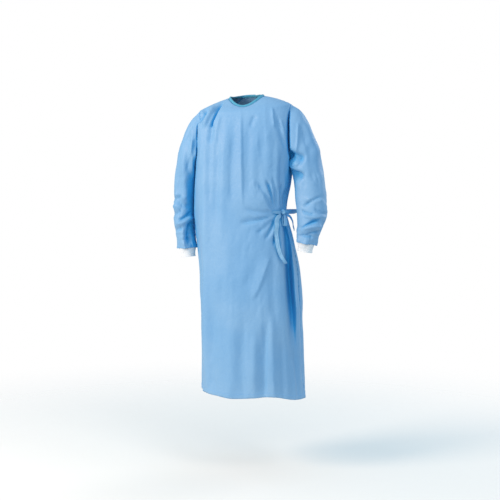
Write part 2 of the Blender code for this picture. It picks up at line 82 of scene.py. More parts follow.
# Sections of the body of the gown.
TORSO_COLUMNS = ("level", "left", "right", "front", "back", "square", "front_z", "back_z")
TORSO = (
    (-1.190, 0.240, 0.186, 0.152, 0.150, 2.2, 0.000, 0.000),
    (-1.060, 0.227, 0.1865, 0.149, 0.146, 2.25, 0.000, 0.000),
    (-0.930, 0.2205, 0.187, 0.146, 0.142, 2.3, 0.000, 0.000),
    (-0.800, 0.2175, 0.188, 0.143, 0.138, 2.35, 0.000, 0.000),
    (-0.720, 0.210, 0.190, 0.141, 0.135, 2.4, 0.000, 0.000),
    (-0.620, 0.197, 0.197, 0.137, 0.131, 2.4, 0.000, 0.000),
    (-0.550, 0.183, 0.206, 0.134, 0.127, 2.45, 0.000, 0.000),
    (-0.500, 0.169, 0.210, 0.131, 0.123, 2.5, 0.000, 0.000),
    (-0.460, 0.161, 0.212, 0.129, 0.121, 2.5, 0.000, 0.000),
    (-0.410, 0.166, 0.212, 0.129, 0.121, 2.55, 0.000, 0.000),
    (-0.350, 0.178, 0.211, 0.128, 0.122, 2.6, 0.000, 0.000),
    (-0.290, 0.184, 0.207, 0.126, 0.120, 2.65, 0.000, 0.000),
    (-0.250, 0.190, 0.208, 0.124, 0.119, 2.7, 0.000, 0.000),
    (-0.200, 0.198, 0.211, 0.122, 0.117, 2.7, 0.000, 0.000),
    (-0.150, 0.204, 0.214, 0.118, 0.113, 2.65, 0.000, 0.000),
    (-0.105, 0.204, 0.213, 0.112, 0.107, 2.55, -0.006, 0.000),
    (-0.075, 0.198, 0.206, 0.107, 0.101, 2.45, -0.012, 0.000),
    (-0.055, 0.190, 0.197, 0.103, 0.097, 2.35, -0.018, 0.000),
    (-0.042, 0.182, 0.190, 0.100, 0.093, 2.3, -0.022, 0.000),
    (-0.030, 0.160, 0.163, 0.095, 0.087, 2.2, -0.028, 0.002),
    (-0.018, 0.130, 0.130, 0.089, 0.080, 2.15, -0.034, 0.004),
    (-0.008, 0.099, 0.099, 0.082, 0.072, 2.05, -0.040, 0.006),
    (0.000, 0.071, 0.071, 0.075, 0.065, 2.0, -0.044, 0.008),
)

HEM_COLUMNS = ("angle", "rise")
HEM_WAVE = (
    (0, -0.020), (35, -0.012), (60, 0.003), (78, -0.001), (95, -0.006), (118, 0.000),
    (150, 0.006), (180, 0.012), (225, 0.002), (270, -0.006), (315, -0.008), (360, -0.020),
)

EDGE_COLUMNS = ("level", "outer", "inner", "lift")
BACK_EDGES = (
    (-1.190, 312, 238, 0.010),
    (-0.800, 317, 236, 0.012),
    (-0.560, 322, 235, 0.012),
    (-0.460, 324, 235, 0.010),
    (-0.350, 316, 237, 0.006),
    (-0.200, 303, 240, 0.003),
    (-0.042, 294, 243, 0.000),
    (0.000, 291, 246, 0.000),
)

# The deep pleat under the knot: its middle, how far it is pushed in, and how far the strip
# of cloth beyond it comes forward.
PLEAT_COLUMNS = ("height", "across", "half_width", "deep", "strip")
PLEAT = (
    (-1.200, 0.193, 0.0190, 0.000, 0.000),
    (-1.080, 0.187, 0.0185, 0.010, 0.005),
    (-0.960, 0.181, 0.0160, 0.024, 0.012),
    (-0.880, 0.177, 0.0140, 0.040, 0.020),
    (-0.780, 0.172, 0.0130, 0.056, 0.030),
    (-0.680, 0.165, 0.0135, 0.058, 0.022),
    (-0.600, 0.159, 0.0135, 0.050, 0.008),
    (-0.540, 0.153, 0.0100, 0.034, 0.000),
    (-0.500, 0.146, 0.0055, 0.010, 0.000),
    (-0.485, 0.145, 0.0055, 0.000, 0.000),
)

# How deep the front of each armhole's seam sinks between chest and sleeve.
TUCK_COLUMNS = ("height", "left", "right")
ARMHOLE_TUCK = (
    (-0.320, 0.000, 0.000),
    (-0.290, 0.016, 0.003),
    (-0.250, 0.034, 0.009),
    (-0.220, 0.036, 0.013),
    (-0.180, 0.038, 0.003),
    (-0.150, 0.036, 0.009),
    (-0.120, 0.034, 0.003),
    (-0.080, 0.020, 0.001),
    (-0.050, 0.002, 0.000),
    (-0.043, 0.000, 0.000),
)

# Folds of the body, on an upright plane that faces the camera. Across and height are the
# fold's two ends, bow is how far it curves, depth is below zero for a trough, crisp is 0 for a
# soft fold and 1 for a creased one, and lean makes one flank longer than the other.
FOLD_COLUMNS = (
    "across_1", "height_1", "across_2", "height_2", "bow", "depth", "width", "crisp", "lean",
)
FRONT_FOLDS = (
    # beside the deep pleat under the knot
    (0.126, -0.500, 0.128, -0.640, -0.003, -0.007, 0.006, 0.4, 0.0),
    (0.196, -1.000, 0.206, -1.215, 0.000, -0.008, 0.013, 0.0, 0.0),
    # the right shoulder and chest
    (-0.096, -0.018, -0.147, -0.124, 0.004, -0.022, 0.0050, 0.5, 0.2),
    (-0.140, -0.105, -0.150, -0.190, 0.000, -0.008, 0.010, 0.0, 0.0),
    (-0.154, -0.042, -0.197, -0.104, 0.003, -0.024, 0.0090, 0.2, 0.2),
    (-0.116, -0.040, -0.160, -0.118, 0.004, -0.005, 0.0050, 0.4, 0.0),
    (-0.126, -0.036, -0.172, -0.125, 0.005, 0.011, 0.009, 0.2, 0.0),
    (-0.108, -0.080, -0.128, -0.200, 0.002, 0.004, 0.009, 0.0, 0.0),
    (-0.182, -0.150, -0.186, -0.300, 0.002, 0.003, 0.008, 0.2, 0.0),
    (-0.164, -0.170, -0.166, -0.610, 0.003, 0.006, 0.016, 0.0, 0.0),
    (-0.146, -0.170, -0.150, -0.420, 0.003, -0.004, 0.012, 0.0, 0.3),
    (-0.077, -0.110, -0.101, -0.530, 0.006, 0.006, 0.020, 0.0, 0.0),
    (-0.112, -0.230, -0.122, -0.520, 0.004, -0.004, 0.014, 0.0, 0.0),
    (-0.052, -0.150, -0.062, -0.430, 0.004, -0.003, 0.013, 0.0, -0.3),
    (-0.024, -0.062, -0.018, -0.440, 0.002, 0.006, 0.012, 0.5, 0.6),
    (0.008, -0.120, 0.006, -0.390, 0.003, -0.004, 0.015, 0.0, 0.0),
    # the left of the neckline
    (0.033, -0.082, 0.014, -0.130, 0.002, -0.005, 0.010, 0.0, 0.0),
    (0.098, -0.050, 0.106, -0.130, 0.000, 0.005, 0.007, 0.3, 0.2),
    (0.117, -0.085, 0.150, -0.210, 0.002, -0.006, 0.009, 0.2, 0.2),
    (0.130, -0.095, 0.148, -0.160, 0.000, 0.003, 0.006, 0.2, 0.0),
    (0.061, -0.170, 0.045, -0.400, 0.004, -0.005, 0.020, 0.0, 0.0),
    (0.083, -0.130, 0.090, -0.300, 0.002, 0.003, 0.012, 0.0, 0.0),
    (0.118, -0.200, 0.112, -0.390, -0.003, 0.004, 0.012, 0.0, 0.0),
    (0.135, -0.240, 0.138, -0.420, 0.003, -0.004, 0.009, 0.2, 0.0),
    (0.182, -0.040, 0.170, -0.310, -0.005, -0.022, 0.0060, 0.5, 0.0),
    (0.163, -0.120, 0.160, -0.330, -0.004, 0.004, 0.008, 0.2, 0.0),
    # drawn in towards the knot
    (0.112, -0.452, 0.076, -0.336, 0.004, -0.014, 0.008, 0.4, 0.3),
    (0.120, -0.446, 0.102, -0.322, 0.002, -0.007, 0.007, 0.4, 0.0),
    (0.113, -0.446, 0.092, -0.345, 0.002, 0.005, 0.006, 0.4, 0.0),
    (0.106, -0.455, 0.040, -0.345, 0.006, -0.008, 0.010, 0.3, 0.2),
    (0.134, -0.444, 0.140, -0.350, -0.002, -0.006, 0.006, 0.4, 0.0),
    (0.128, -0.446, 0.124, -0.372, 0.000, 0.004, 0.005, 0.3, 0.0),
    (0.146, -0.446, 0.158, -0.366, -0.003, -0.005, 0.007, 0.3, 0.0),
    (0.110, -0.462, -0.005, -0.448, -0.006, -0.007, 0.011, 0.2, 0.0),
    (0.110, -0.468, -0.028, -0.502, -0.006, -0.011, 0.010, 0.4, 0.3),
    (0.104, -0.464, 0.018, -0.480, -0.004, 0.005, 0.008, 0.2, 0.0),
    (0.114, -0.474, 0.035, -0.545, -0.004, -0.009, 0.008, 0.4, 0.0),
    (0.118, -0.478, 0.070, -0.567, -0.003, -0.009, 0.007, 0.4, 0.0),
    (0.114, -0.474, 0.052, -0.530, -0.003, 0.004, 0.006, 0.2, 0.0),
    (0.122, -0.480, 0.104, -0.590, -0.003, -0.009, 0.006, 0.4, 0.0),
    (0.117, -0.476, 0.096, -0.560, -0.003, 0.004, 0.005, 0.2, 0.0),
    (0.142, -0.478, 0.162, -0.560, 0.002, -0.005, 0.006, 0.4, 0.0),
    # the skirt
    (0.089, -0.640, 0.066, -0.700, 0.000, 0.004, 0.010, 0.2, 0.4),
    (0.074, -0.680, 0.022, -0.800, -0.003, 0.006, 0.012, 0.3, 0.5),
    (0.050, -0.620, -0.010, -0.760, -0.004, -0.003, 0.020, 0.0, 0.0),
    (0.104, -0.600, 0.110, -0.900, 0.004, -0.004, 0.016, 0.0, 0.0),
    (0.077, -0.890, 0.069, -1.215, 0.004, -0.011, 0.017, 0.1, 0.5),
    (0.098, -0.860, 0.108, -1.215, 0.002, 0.007, 0.015, 0.1, 0.0),
    (0.137, -0.960, 0.146, -1.215, 0.000, -0.005, 0.012, 0.0, 0.0),
    (0.030, -0.940, 0.026, -1.215, 0.003, 0.006, 0.018, 0.0, 0.0),
    (-0.014, -0.880, -0.012, -1.215, 0.003, -0.005, 0.018, 0.0, 0.3),
    (-0.061, -0.900, -0.061, -1.215, 0.000, 0.006, 0.022, 0.0, 0.0),
    (-0.096, -0.720, -0.094, -0.980, 0.004, -0.003, 0.018, 0.0, 0.0),
    (-0.130, -0.810, -0.134, -1.215, 0.003, -0.006, 0.019, 0.0, 0.0),
    (-0.163, -0.640, -0.168, -1.100, 0.003, 0.004, 0.014, 0.0, 0.0),
    (-0.070, -0.560, -0.080, -0.800, 0.004, 0.003, 0.020, 0.0, 0.0),
    (-0.010, -0.660, -0.030, -0.900, 0.005, 0.002, 0.022, 0.0, 0.0),
    (0.176, -1.040, 0.196, -1.215, 0.000, 0.004, 0.010, 0.0, 0.0),
    (0.222, -1.080, 0.232, -1.215, 0.000, -0.003, 0.010, 0.0, 0.0),
)
BACK_FOLDS = (
    (-0.140, -0.090, -0.100, -0.420, 0.006, -0.007, 0.013, 0.2, 0.2),
    (-0.108, -0.070, -0.070, -0.260, 0.004, 0.004, 0.012, 0.1, 0.0),
    (0.120, -0.100, 0.080, -0.400, 0.005, -0.007, 0.013, 0.2, -0.2),
    (0.094, -0.060, 0.060, -0.240, 0.004, 0.004, 0.012, 0.1, 0.0),
    (-0.020, -0.100, -0.030, -0.480, 0.004, 0.006, 0.020, 0.0, 0.0),
    (0.026, -0.080, 0.036, -0.360, 0.003, -0.004, 0.016, 0.0, 0.2),
    (-0.170, -0.110, -0.162, -0.300, 0.003, -0.005, 0.009, 0.3, 0.0),
    (0.164, -0.090, 0.160, -0.280, 0.003, -0.005, 0.009, 0.3, 0.0),
    (-0.060, -0.420, -0.052, -0.240, 0.005, -0.004, 0.014, 0.1, 0.0),
    (0.130, -0.455, 0.000, -0.400, 0.006, -0.008, 0.012, 0.2, 0.0),
    (0.128, -0.448, 0.040, -0.360, 0.006, -0.006, 0.010, 0.3, 0.0),
    (0.126, -0.462, -0.040, -0.468, 0.004, -0.005, 0.013, 0.1, 0.0),
    (0.130, -0.470, 0.010, -0.560, -0.006, -0.008, 0.012, 0.2, 0.0),
    (0.124, -0.476, 0.060, -0.580, -0.004, -0.005, 0.009, 0.3, 0.0),
    (0.120, -0.458, 0.030, -0.430, 0.003, 0.004, 0.009, 0.1, 0.0),
    (-0.150, -0.560, -0.140, -1.215, 0.006, -0.012, 0.020, 0.1, 0.2),
    (-0.104, -0.640, -0.100, -1.215, 0.004, 0.007, 0.018, 0.0, 0.0),
    (-0.060, -0.600, -0.055, -1.215, 0.005, 0.010, 0.022, 0.0, 0.0),
    (-0.022, -0.700, -0.010, -1.215, 0.004, -0.008, 0.018, 0.1, 0.3),
    (0.030, -0.620, 0.045, -1.215, 0.006, -0.012, 0.020, 0.1, 0.0),
    (0.075, -0.720, 0.090, -1.215, 0.005, 0.007, 0.018, 0.0, 0.0),
    (0.120, -0.660, 0.150, -1.215, 0.006, 0.010, 0.020, 0.0, 0.0),
    (0.160, -0.760, 0.190, -1.215, 0.004, -0.007, 0.015, 0.1, 0.0),
)
# Folds seen from the wearer's left and right, on planes that face those sides.
LEFT_FOLDS = (
    (-0.060, -0.500, -0.050, -0.860, 0.004, -0.007, 0.014, 0.1, 0.0),
    (-0.020, -0.560, -0.005, -1.215, 0.004, 0.007, 0.018, 0.0, 0.0),
    (0.030, -0.520, 0.034, -1.215, 0.005, -0.009, 0.016, 0.2, 0.2),
    (0.072, -0.600, 0.078, -1.215, 0.004, 0.006, 0.016, 0.0, 0.0),
    (0.020, -0.320, 0.000, -0.450, 0.003, -0.005, 0.012, 0.1, 0.0),
    (-0.050, -0.330, -0.040, -0.440, 0.003, -0.004, 0.010, 0.1, 0.0),
    (0.070, -0.330, 0.040, -0.450, 0.003, -0.004, 0.011, 0.1, 0.0),
)
RIGHT_FOLDS = (
    (-0.070, -0.330, -0.066, -0.800, 0.004, -0.006, 0.016, 0.1, 0.0),
    (-0.026, -0.320, -0.020, -0.900, 0.005, 0.006, 0.018, 0.0, 0.0),
    (0.022, -0.340, 0.026, -1.215, 0.004, -0.008, 0.017, 0.1, 0.2),
    (0.070, -0.420, 0.072, -1.215, 0.004, 0.006, 0.017, 0.0, 0.0),
    (-0.050, -0.800, -0.052, -1.215, 0.003, -0.005, 0.018, 0.0, 0.0),
)

# Sections of each sleeve.
SLEEVE_COLUMNS = ("along", "outer_x", "outer_z", "inner_x", "inner_z", "mid_y", "half_depth")
SLEEVES = {
    "left": (
        (0.00, 0.182, -0.033, 0.184, -0.290, 0.000, 0.078),
        (0.10, 0.221, -0.058, 0.187, -0.303, -0.002, 0.081),
        (0.20, 0.251, -0.106, 0.191, -0.320, -0.005, 0.080),
        (0.32, 0.281, -0.180, 0.196, -0.342, -0.009, 0.077),
        (0.44, 0.305, -0.262, 0.200, -0.374, -0.013, 0.072),
        (0.58, 0.318, -0.348, 0.203, -0.416, -0.018, 0.068),
        (0.70, 0.328, -0.426, 0.208, -0.464, -0.025, 0.065),
        (0.82, 0.326, -0.490, 0.214, -0.512, -0.034, 0.061),
        (0.91, 0.307, -0.542, 0.211, -0.544, -0.043, 0.051),
        (1.00, 0.283, -0.589, 0.215, -0.577, -0.050, 0.036),
    ),
    "right": (
        (0.00, -0.190, -0.051, -0.207, -0.290, 0.000, 0.078),
        (0.10, -0.224, -0.084, -0.210, -0.304, 0.001, 0.081),
        (0.20, -0.250, -0.126, -0.213, -0.320, 0.003, 0.079),
        (0.32, -0.277, -0.190, -0.216, -0.344, 0.007, 0.075),
        (0.44, -0.296, -0.266, -0.218, -0.378, 0.011, 0.070),
        (0.58, -0.306, -0.352, -0.221, -0.422, 0.013, 0.067),
        (0.70, -0.307, -0.428, -0.222, -0.470, 0.011, 0.064),
        (0.82, -0.303, -0.500, -0.221, -0.522, 0.005, 0.058),
        (0.91, -0.295, -0.556, -0.217, -0.566, -0.002, 0.050),
        (1.00, -0.283, -0.610, -0.213, -0.606, -0.008, 0.037),
    ),
}
# Folds of each sleeve in front, behind, and on its outer side.
SLEEVE_FRONT = {
    "left": (
        (0.150, -0.226, 0.228, -0.252, 0.003, -0.0230, 0.0180, 0.0, 0.3),
        (0.150, -0.296, 0.224, -0.320, 0.003, -0.0230, 0.0150, 0.0, 0.3),
        (0.178, -0.262, 0.200, -0.276, 0.002, 0.0060, 0.0090, 0.1, 0.0),
        (0.206, -0.120, 0.232, -0.200, -0.004, -0.0040, 0.009, 0.2, 0.0),
        (0.199, -0.110, 0.190, -0.240, -0.003, 0.0048, 0.006, 0.3, 0.0),
        (0.224, -0.105, 0.280, -0.250, -0.006, 0.0080, 0.016, 0.0, 0.0),
        (0.240, -0.190, 0.258, -0.340, -0.004, -0.0048, 0.014, 0.0, 0.0),
        (0.290, -0.300, 0.296, -0.400, 0.004, 0.0048, 0.012, 0.0, 0.0),
        (0.220, -0.438, 0.290, -0.400, -0.004, -0.0090, 0.0065, 0.4, 0.3),
        (0.230, -0.405, 0.300, -0.412, 0.006, 0.0064, 0.008, 0.2, 0.0),
        (0.212, -0.452, 0.262, -0.470, 0.005, -0.0080, 0.006, 0.4, 0.0),
        (0.208, -0.528, 0.300, -0.480, -0.004, -0.0130, 0.0065, 0.5, 0.3),
        (0.222, -0.470, 0.310, -0.480, 0.006, 0.0096, 0.009, 0.2, 0.0),
        (0.262, -0.445, 0.322, -0.470, 0.004, -0.0064, 0.007, 0.3, 0.0),
        (0.288, -0.534, 0.318, -0.488, 0.000, -0.0120, 0.006, 0.3, 0.0),
        (0.210, -0.530, 0.296, -0.518, -0.008, 0.0144, 0.010, 0.2, 0.0),
        (0.232, -0.548, 0.300, -0.538, -0.006, -0.0080, 0.006, 0.4, 0.0),
        (0.202, -0.552, 0.262, -0.560, -0.004, -0.0080, 0.007, 0.3, 0.0),
    ),
    "right": (
        (-0.286, -0.512, -0.222, -0.474, 0.006, 0.0120, 0.010, 0.2, 0.4),
        (-0.280, -0.496, -0.224, -0.460, 0.005, -0.0110, 0.007, 0.4, 0.0),
        (-0.224, -0.495, -0.238, -0.592, 0.003, -0.0200, 0.011, 0.2, 0.0),
        (-0.262, -0.530, -0.252, -0.600, 0.002, 0.0080, 0.009, 0.1, 0.0),
        (-0.290, -0.415, -0.225, -0.440, 0.006, -0.0080, 0.010, 0.2, 0.0),
        (-0.300, -0.385, -0.240, -0.405, 0.006, 0.0048, 0.010, 0.1, 0.0),
        (-0.232, -0.130, -0.238, -0.300, 0.006, -0.0080, 0.014, 0.1, 0.0),
        (-0.218, -0.150, -0.219, -0.330, 0.002, 0.0048, 0.007, 0.2, 0.0),
        (-0.275, -0.290, -0.268, -0.470, 0.004, -0.0064, 0.014, 0.0, 0.0),
        (-0.252, -0.230, -0.246, -0.420, 0.003, 0.0048, 0.012, 0.0, 0.0),
        (-0.226, -0.300, -0.228, -0.460, 0.002, -0.0020, 0.010, 0.1, 0.0),
    ),
}
SLEEVE_BACK = {
    "left": (
        (0.214, -0.150, 0.226, -0.300, 0.004, -0.0105, 0.012, 0.2, 0.0),
        (0.262, -0.200, 0.286, -0.370, 0.004, 0.0060, 0.014, 0.0, 0.0),
        (0.214, -0.372, 0.306, -0.392, 0.006, -0.0105, 0.009, 0.3, 0.2),
        (0.216, -0.420, 0.318, -0.428, 0.006, -0.0105, 0.008, 0.4, 0.0),
        (0.224, -0.446, 0.316, -0.462, 0.006, 0.0075, 0.009, 0.2, 0.0),
        (0.220, -0.486, 0.306, -0.500, -0.006, -0.0120, 0.008, 0.4, 0.2),
        (0.226, -0.522, 0.296, -0.530, -0.006, 0.0090, 0.009, 0.2, 0.0),
        (0.224, -0.552, 0.290, -0.558, -0.004, -0.0075, 0.007, 0.3, 0.0),
    ),
    "right": (
        (-0.222, -0.150, -0.236, -0.310, 0.004, -0.0090, 0.012, 0.2, 0.0),
        (-0.262, -0.190, -0.282, -0.360, 0.004, 0.0060, 0.014, 0.0, 0.0),
        (-0.292, -0.380, -0.224, -0.398, 0.006, -0.0105, 0.009, 0.3, 0.2),
        (-0.296, -0.430, -0.226, -0.452, 0.006, -0.0090, 0.009, 0.3, 0.0),
        (-0.290, -0.470, -0.224, -0.488, 0.006, 0.0075, 0.010, 0.1, 0.0),
        (-0.288, -0.520, -0.226, -0.530, -0.005, -0.0090, 0.008, 0.3, 0.0),
        (-0.282, -0.568, -0.228, -0.572, -0.004, -0.0060, 0.007, 0.3, 0.0),
    ),
}
SLEEVE_SIDE = {
    "left": (
        (-0.040, -0.130, -0.020, -0.330, 0.005, -0.0075, 0.014, 0.1, 0.0),
        (0.030, -0.150, 0.030, -0.350, 0.004, 0.0060, 0.016, 0.0, 0.0),
        (-0.060, -0.400, 0.040, -0.430, 0.006, -0.0120, 0.009, 0.3, 0.2),
        (-0.070, -0.470, 0.030, -0.486, 0.006, -0.0120, 0.009, 0.4, 0.2),
        (-0.060, -0.440, 0.036, -0.458, 0.005, 0.0075, 0.009, 0.2, 0.0),
        (-0.080, -0.530, 0.010, -0.520, -0.005, -0.0090, 0.009, 0.3, 0.0),
        (-0.070, -0.570, 0.000, -0.566, -0.004, 0.0060, 0.007, 0.2, 0.0),
    ),
    "right": (
        (-0.036, -0.150, -0.030, -0.340, 0.005, -0.0075, 0.014, 0.1, 0.0),
        (0.036, -0.160, 0.034, -0.360, 0.004, 0.0060, 0.015, 0.0, 0.0),
        (-0.060, -0.410, 0.040, -0.384, 0.006, -0.0090, 0.010, 0.3, 0.2),
        (-0.060, -0.470, 0.044, -0.448, 0.006, -0.0090, 0.010, 0.3, 0.0),
        (-0.050, -0.440, 0.040, -0.418, 0.005, 0.0060, 0.010, 0.1, 0.0),
        (-0.050, -0.540, 0.036, -0.530, -0.005, -0.0090, 0.009, 0.3, 0.0),
    ),
}

TIE_COLUMNS = ("angle", "height", "out", "turn", "width")
TIES = {
    "belt_front_tie": (
        (44.5, -0.4612, 0.0034, 0, 0.006), (38.0, -0.4615, 0.0044, 0, 0.011),
        (28.2, -0.4614, 0.0072, 0, 0.011),
    ),
    "belt_back_tie": (
        (15.9, -0.4605, 0.0088, 0, 0.012), (6.0, -0.4610, 0.0180, 25, 0.018),
        (-8.0, -0.4625, 0.0380, 55, 0.020), (-20.0, -0.4630, 0.0500, 55, 0.020),
        (-28.0, -0.4630, 0.0400, 25, 0.020), (-34.0, -0.4620, 0.0225, 8, 0.020),
        (-37.0, -0.4620, 0.0128, 0, 0.020), (-41.0, -0.4620, 0.0114, 0, 0.020),
    ),
    "belt_end_long": (
        (29.0, -0.4712, 0.0085, 0, 0.012), (38.5, -0.4880, 0.0105, 0, 0.018),
        (43.2, -0.5216, 0.0100, 8, 0.017), (45.2, -0.5577, 0.0100, 10, 0.016),
        (46.2, -0.5937, 0.0120, 10, 0.016), (42.9, -0.6350, 0.0150, 25, 0.013),
        (37.4, -0.6634, 0.0190, 50, 0.010),
    ),
    "belt_loop": (
        (21.5, -0.4745, 0.0135, 0, 0.013), (24.0, -0.4920, 0.0175, 0, 0.020),
        (26.0, -0.5100, 0.0175, 0, 0.021), (27.0, -0.5185, 0.0135, 0, 0.021),
        (26.0, -0.5100, 0.0098, 0, 0.021), (24.0, -0.4920, 0.0085, 0, 0.020),
        (21.5, -0.4755, 0.0080, 0, 0.013),
    ),
    "belt_end_short": (
        (13.4, -0.4746, 0.0110, 0, 0.012), (8.5, -0.4840, 0.0185, 0, 0.016),
        (6.0, -0.5020, 0.0225, 0, 0.018), (4.5, -0.5240, 0.0215, 0, 0.018),
        (4.0, -0.5400, 0.0200, 0, 0.018),
    ),
}


def smooth_step(value):
    value = np.clip(value, 0.0, 1.0)
    return value * value * (3.0 - 2.0 * value)


def read(table, columns, name, at):
    """A column of a table as a smooth curve, at the given values of the first column."""
    marks = np.array([row[0] for row in table], float)
    values = np.array([row[columns.index(name)] for row in table], float)
    slopes = np.gradient(values, marks)
    at = np.clip(np.asarray(at, float), marks[0], marks[-1])
    k = np.clip(np.searchsorted(marks, at, side="right") - 1, 0, len(marks) - 2)
    span = marks[k + 1] - marks[k]
    u = (at - marks[k]) / span
    start = (1 + 2 * u) * (1 - u) ** 2 * values[k] + u * (1 - u) ** 2 * span * slopes[k]
    end = u * u * (3 - 2 * u) * values[k + 1] + u * u * (u - 1) * span * slopes[k + 1]
    return start + end


def rounded(value, power):
    return np.sign(value) * np.abs(value) ** power


def body_form(angle, level):
    """The gown's body before its folds, at angles round it and levels."""
    torso = {name: read(TORSO, TORSO_COLUMNS, name, level) for name in TORSO_COLUMNS[1:]}
    turn = np.radians(angle)
    power = 2.0 / torso["square"]
    x = rounded(np.cos(turn), power)
    y = -rounded(np.sin(turn), power)
    facing = np.sin(turn) ** 2
    dip = np.where(y < 0, torso["front_z"], torso["back_z"]) * facing
    x = x * np.where(x > 0, torso["left"], torso["right"])
    y = y * np.where(y < 0, torso["front"], torso["back"])
    low = smooth_step((HEM + HEM_WAVE_HEIGHT - level) / HEM_WAVE_HEIGHT)
    high = smooth_step((level - UNDERARM) / (SHOULDER_POINT - UNDERARM))
    wave = read(HEM_WAVE, HEM_COLUMNS, "rise", np.mod(angle, 360.0))
    z = level + dip + wave * low + SHOULDER_TILT * x * high
    return np.stack([x, y, z], axis=-1)


def outward(form, u, v, step_u, step_v):
    """Unit normals of a form, pointing out of the gown."""
    along_u = form(u + step_u, v) - form(u - step_u, v)
    along_v = form(u, v + step_v) - form(u, v - step_v)
    normal = np.cross(along_v, along_u)
    return normal / np.linalg.norm(normal, axis=-1, keepdims=True)


def folds(points, normals, table, turn=VIEW_TURN, side=1):
    """Distance that a table's folds move each point. Side is -1 for folds seen from behind."""
    across = points[..., 0] * math.cos(turn) + points[..., 1] * math.sin(turn)
    height = points[..., 2]
    facing = normals[..., 0] * math.sin(turn) - normals[..., 1] * math.cos(turn)
    seen = smooth_step(side * facing / FACING_FADE)
    moved = np.zeros(across.shape)
    for values in table:
        fold = dict(zip(FOLD_COLUMNS, values))
        run = np.array([fold["across_2"] - fold["across_1"], fold["height_2"] - fold["height_1"]])
        length = np.linalg.norm(run)
        run /= length
        from_x, from_z = across - fold["across_1"], height - fold["height_1"]
        along = (from_x * run[0] + from_z * run[1]) / length
        aside = from_x * run[1] - from_z * run[0]
        share = np.clip(along, 0.0, 1.0)
        aside = aside - fold["bow"] * 4.0 * share * (1.0 - share)
        ends = smooth_step(along / 0.3 + 0.25) * smooth_step((1.0 - along) / 0.3 + 0.25)
        width = fold["width"] * (0.75 + 0.25 * ends)
        width = width * (1.0 + fold["lean"] * np.tanh(aside / fold["width"]))
        off = aside / width
        soft = np.exp(-(off**2))
        creased = np.exp(0.25 - np.sqrt(2.6 * off**2 + 0.0625))
        profile = (1.0 - fold["crisp"]) * soft + fold["crisp"] * creased
        moved += fold["depth"] * ends * profile
    return moved * seen


def scattered(seed, count, area, heading, length, depth, width, crisp=0.3):
    """Rows of small uneven folds inside an area (across_1, height_1, across_2, height_2).

    Heading gives the way the cloth hangs at a place, in degrees from straight down.
    """
    chance = np.random.default_rng(seed)
    rows = []
    for _ in range(count):
        x = chance.uniform(area[0], area[2])
        z = chance.uniform(area[1], area[3])
        way = math.radians(heading(x, z) + chance.normal(0.0, 9.0))
        half = chance.uniform(0.5, 1.3) * length / 2
        dx, dz = half * math.sin(way), -half * math.cos(way)
        deep = depth * chance.uniform(0.4, 1.2) * chance.choice([-1.0, -1.0, 1.0])
        wide = width * chance.uniform(0.6, 1.4)
        bow = chance.normal(0.0, 0.04) * half
        lean = chance.uniform(-0.4, 0.4)
        rows.append((x - dx, z - dz, x + dx, z + dz, bow, deep, wide, crisp, lean))
    return tuple(rows)


def rolling(points, seed, count, longest, shortest, height, sharp=False):
    """A sum of seeded waves in space: long soft swells, or sharp ones as in stiff thin cloth."""
    chance = np.random.default_rng(seed)
    total = np.zeros(points.shape[:-1])
    for _ in range(count):
        way = chance.normal(size=3)
        way[2] *= 0.6
        way /= np.linalg.norm(way)
        pitch = math.exp(chance.uniform(math.log(shortest), math.log(longest)))
        phase = chance.uniform(0, 2 * math.pi)
        bend = chance.normal(size=3) * 4.0
        run = points @ way + 0.25 * pitch * np.sin(points @ bend * 2.0 + phase)
        wave = np.sin(run * 2 * math.pi / pitch + phase)
        if sharp:
            wave = 2.0 * (1.0 - np.sqrt(wave**2 + 0.02)) - 0.75
        total += wave * pitch
    spread = math.sqrt(count) * math.sqrt(longest * shortest)
    return total * height / spread


def towards_knot(x, z):
    """Heading of a small fold near the waist: it points at the knot, and hangs down elsewhere."""
    dx, dz = 0.118 - x, -0.460 - z
    away = math.hypot(dx, dz)
    aim = math.degrees(math.atan2(dx, -dz))
    aim = (aim + 90.0) % 180.0 - 90.0
    return aim * max(0.0, 1.0 - away / 0.24)


def from_shoulders(x, z):
    """Heading of a small fold on the chest: it leans in from the shoulders."""
    return -math.degrees(math.atan2(x, 0.42)) * max(0.0, 1.0 + z / 0.35)


SMALL_FRONT = (
    scattered(3, 22, (-0.20, -0.36, 0.17, -0.10), from_shoulders, 0.170, 0.0010, 0.0095)
    + scattered(5, 40, (0.00, -0.60, 0.19, -0.34), towards_knot, 0.070, 0.0014, 0.0045)
    + scattered(7, 20, (-0.20, -0.62, 0.02, -0.34), towards_knot, 0.130, 0.0009, 0.0100)
    + scattered(11, 46, (-0.20, -1.20, 0.24, -0.62), towards_knot, 0.200, 0.0013, 0.0095)
)
SMALL_BACK = (
    scattered(13, 50, (-0.19, -0.40, 0.19, -0.06), from_shoulders, 0.090, 0.0013, 0.0070)
    + scattered(17, 44, (-0.10, -0.62, 0.19, -0.33), towards_knot, 0.075, 0.0014, 0.0055)
    + scattered(19, 60, (-0.20, -1.20, 0.24, -0.62), towards_knot, 0.140, 0.0014, 0.0090)
)
SMALL_SIDE = scattered(
    23, 40, (-0.11, -1.20, 0.11, -0.32), lambda x, z: 0.0, 0.130, 0.0012, 0.0080
)


def arm_heading(x, z):
    """Heading of a small fold on a sleeve: lengthwise above, round the arm towards the cuff."""
    return 70.0 * float(smooth_step((-0.30 - z) / 0.16)) * (1 if x > 0 else -1)


def small_sleeve(seed, area):
    low, high = (area[0], -0.60, area[1], -0.33), (area[0], -0.34, area[1], -0.08)
    lower = scattered(seed, 20, low, arm_heading, 0.080, 0.0018, 0.0070, 0.4)
    upper = scattered(seed + 1, 10, high, arm_heading, 0.110, 0.0012, 0.0100, 0.2)
    return lower + upper


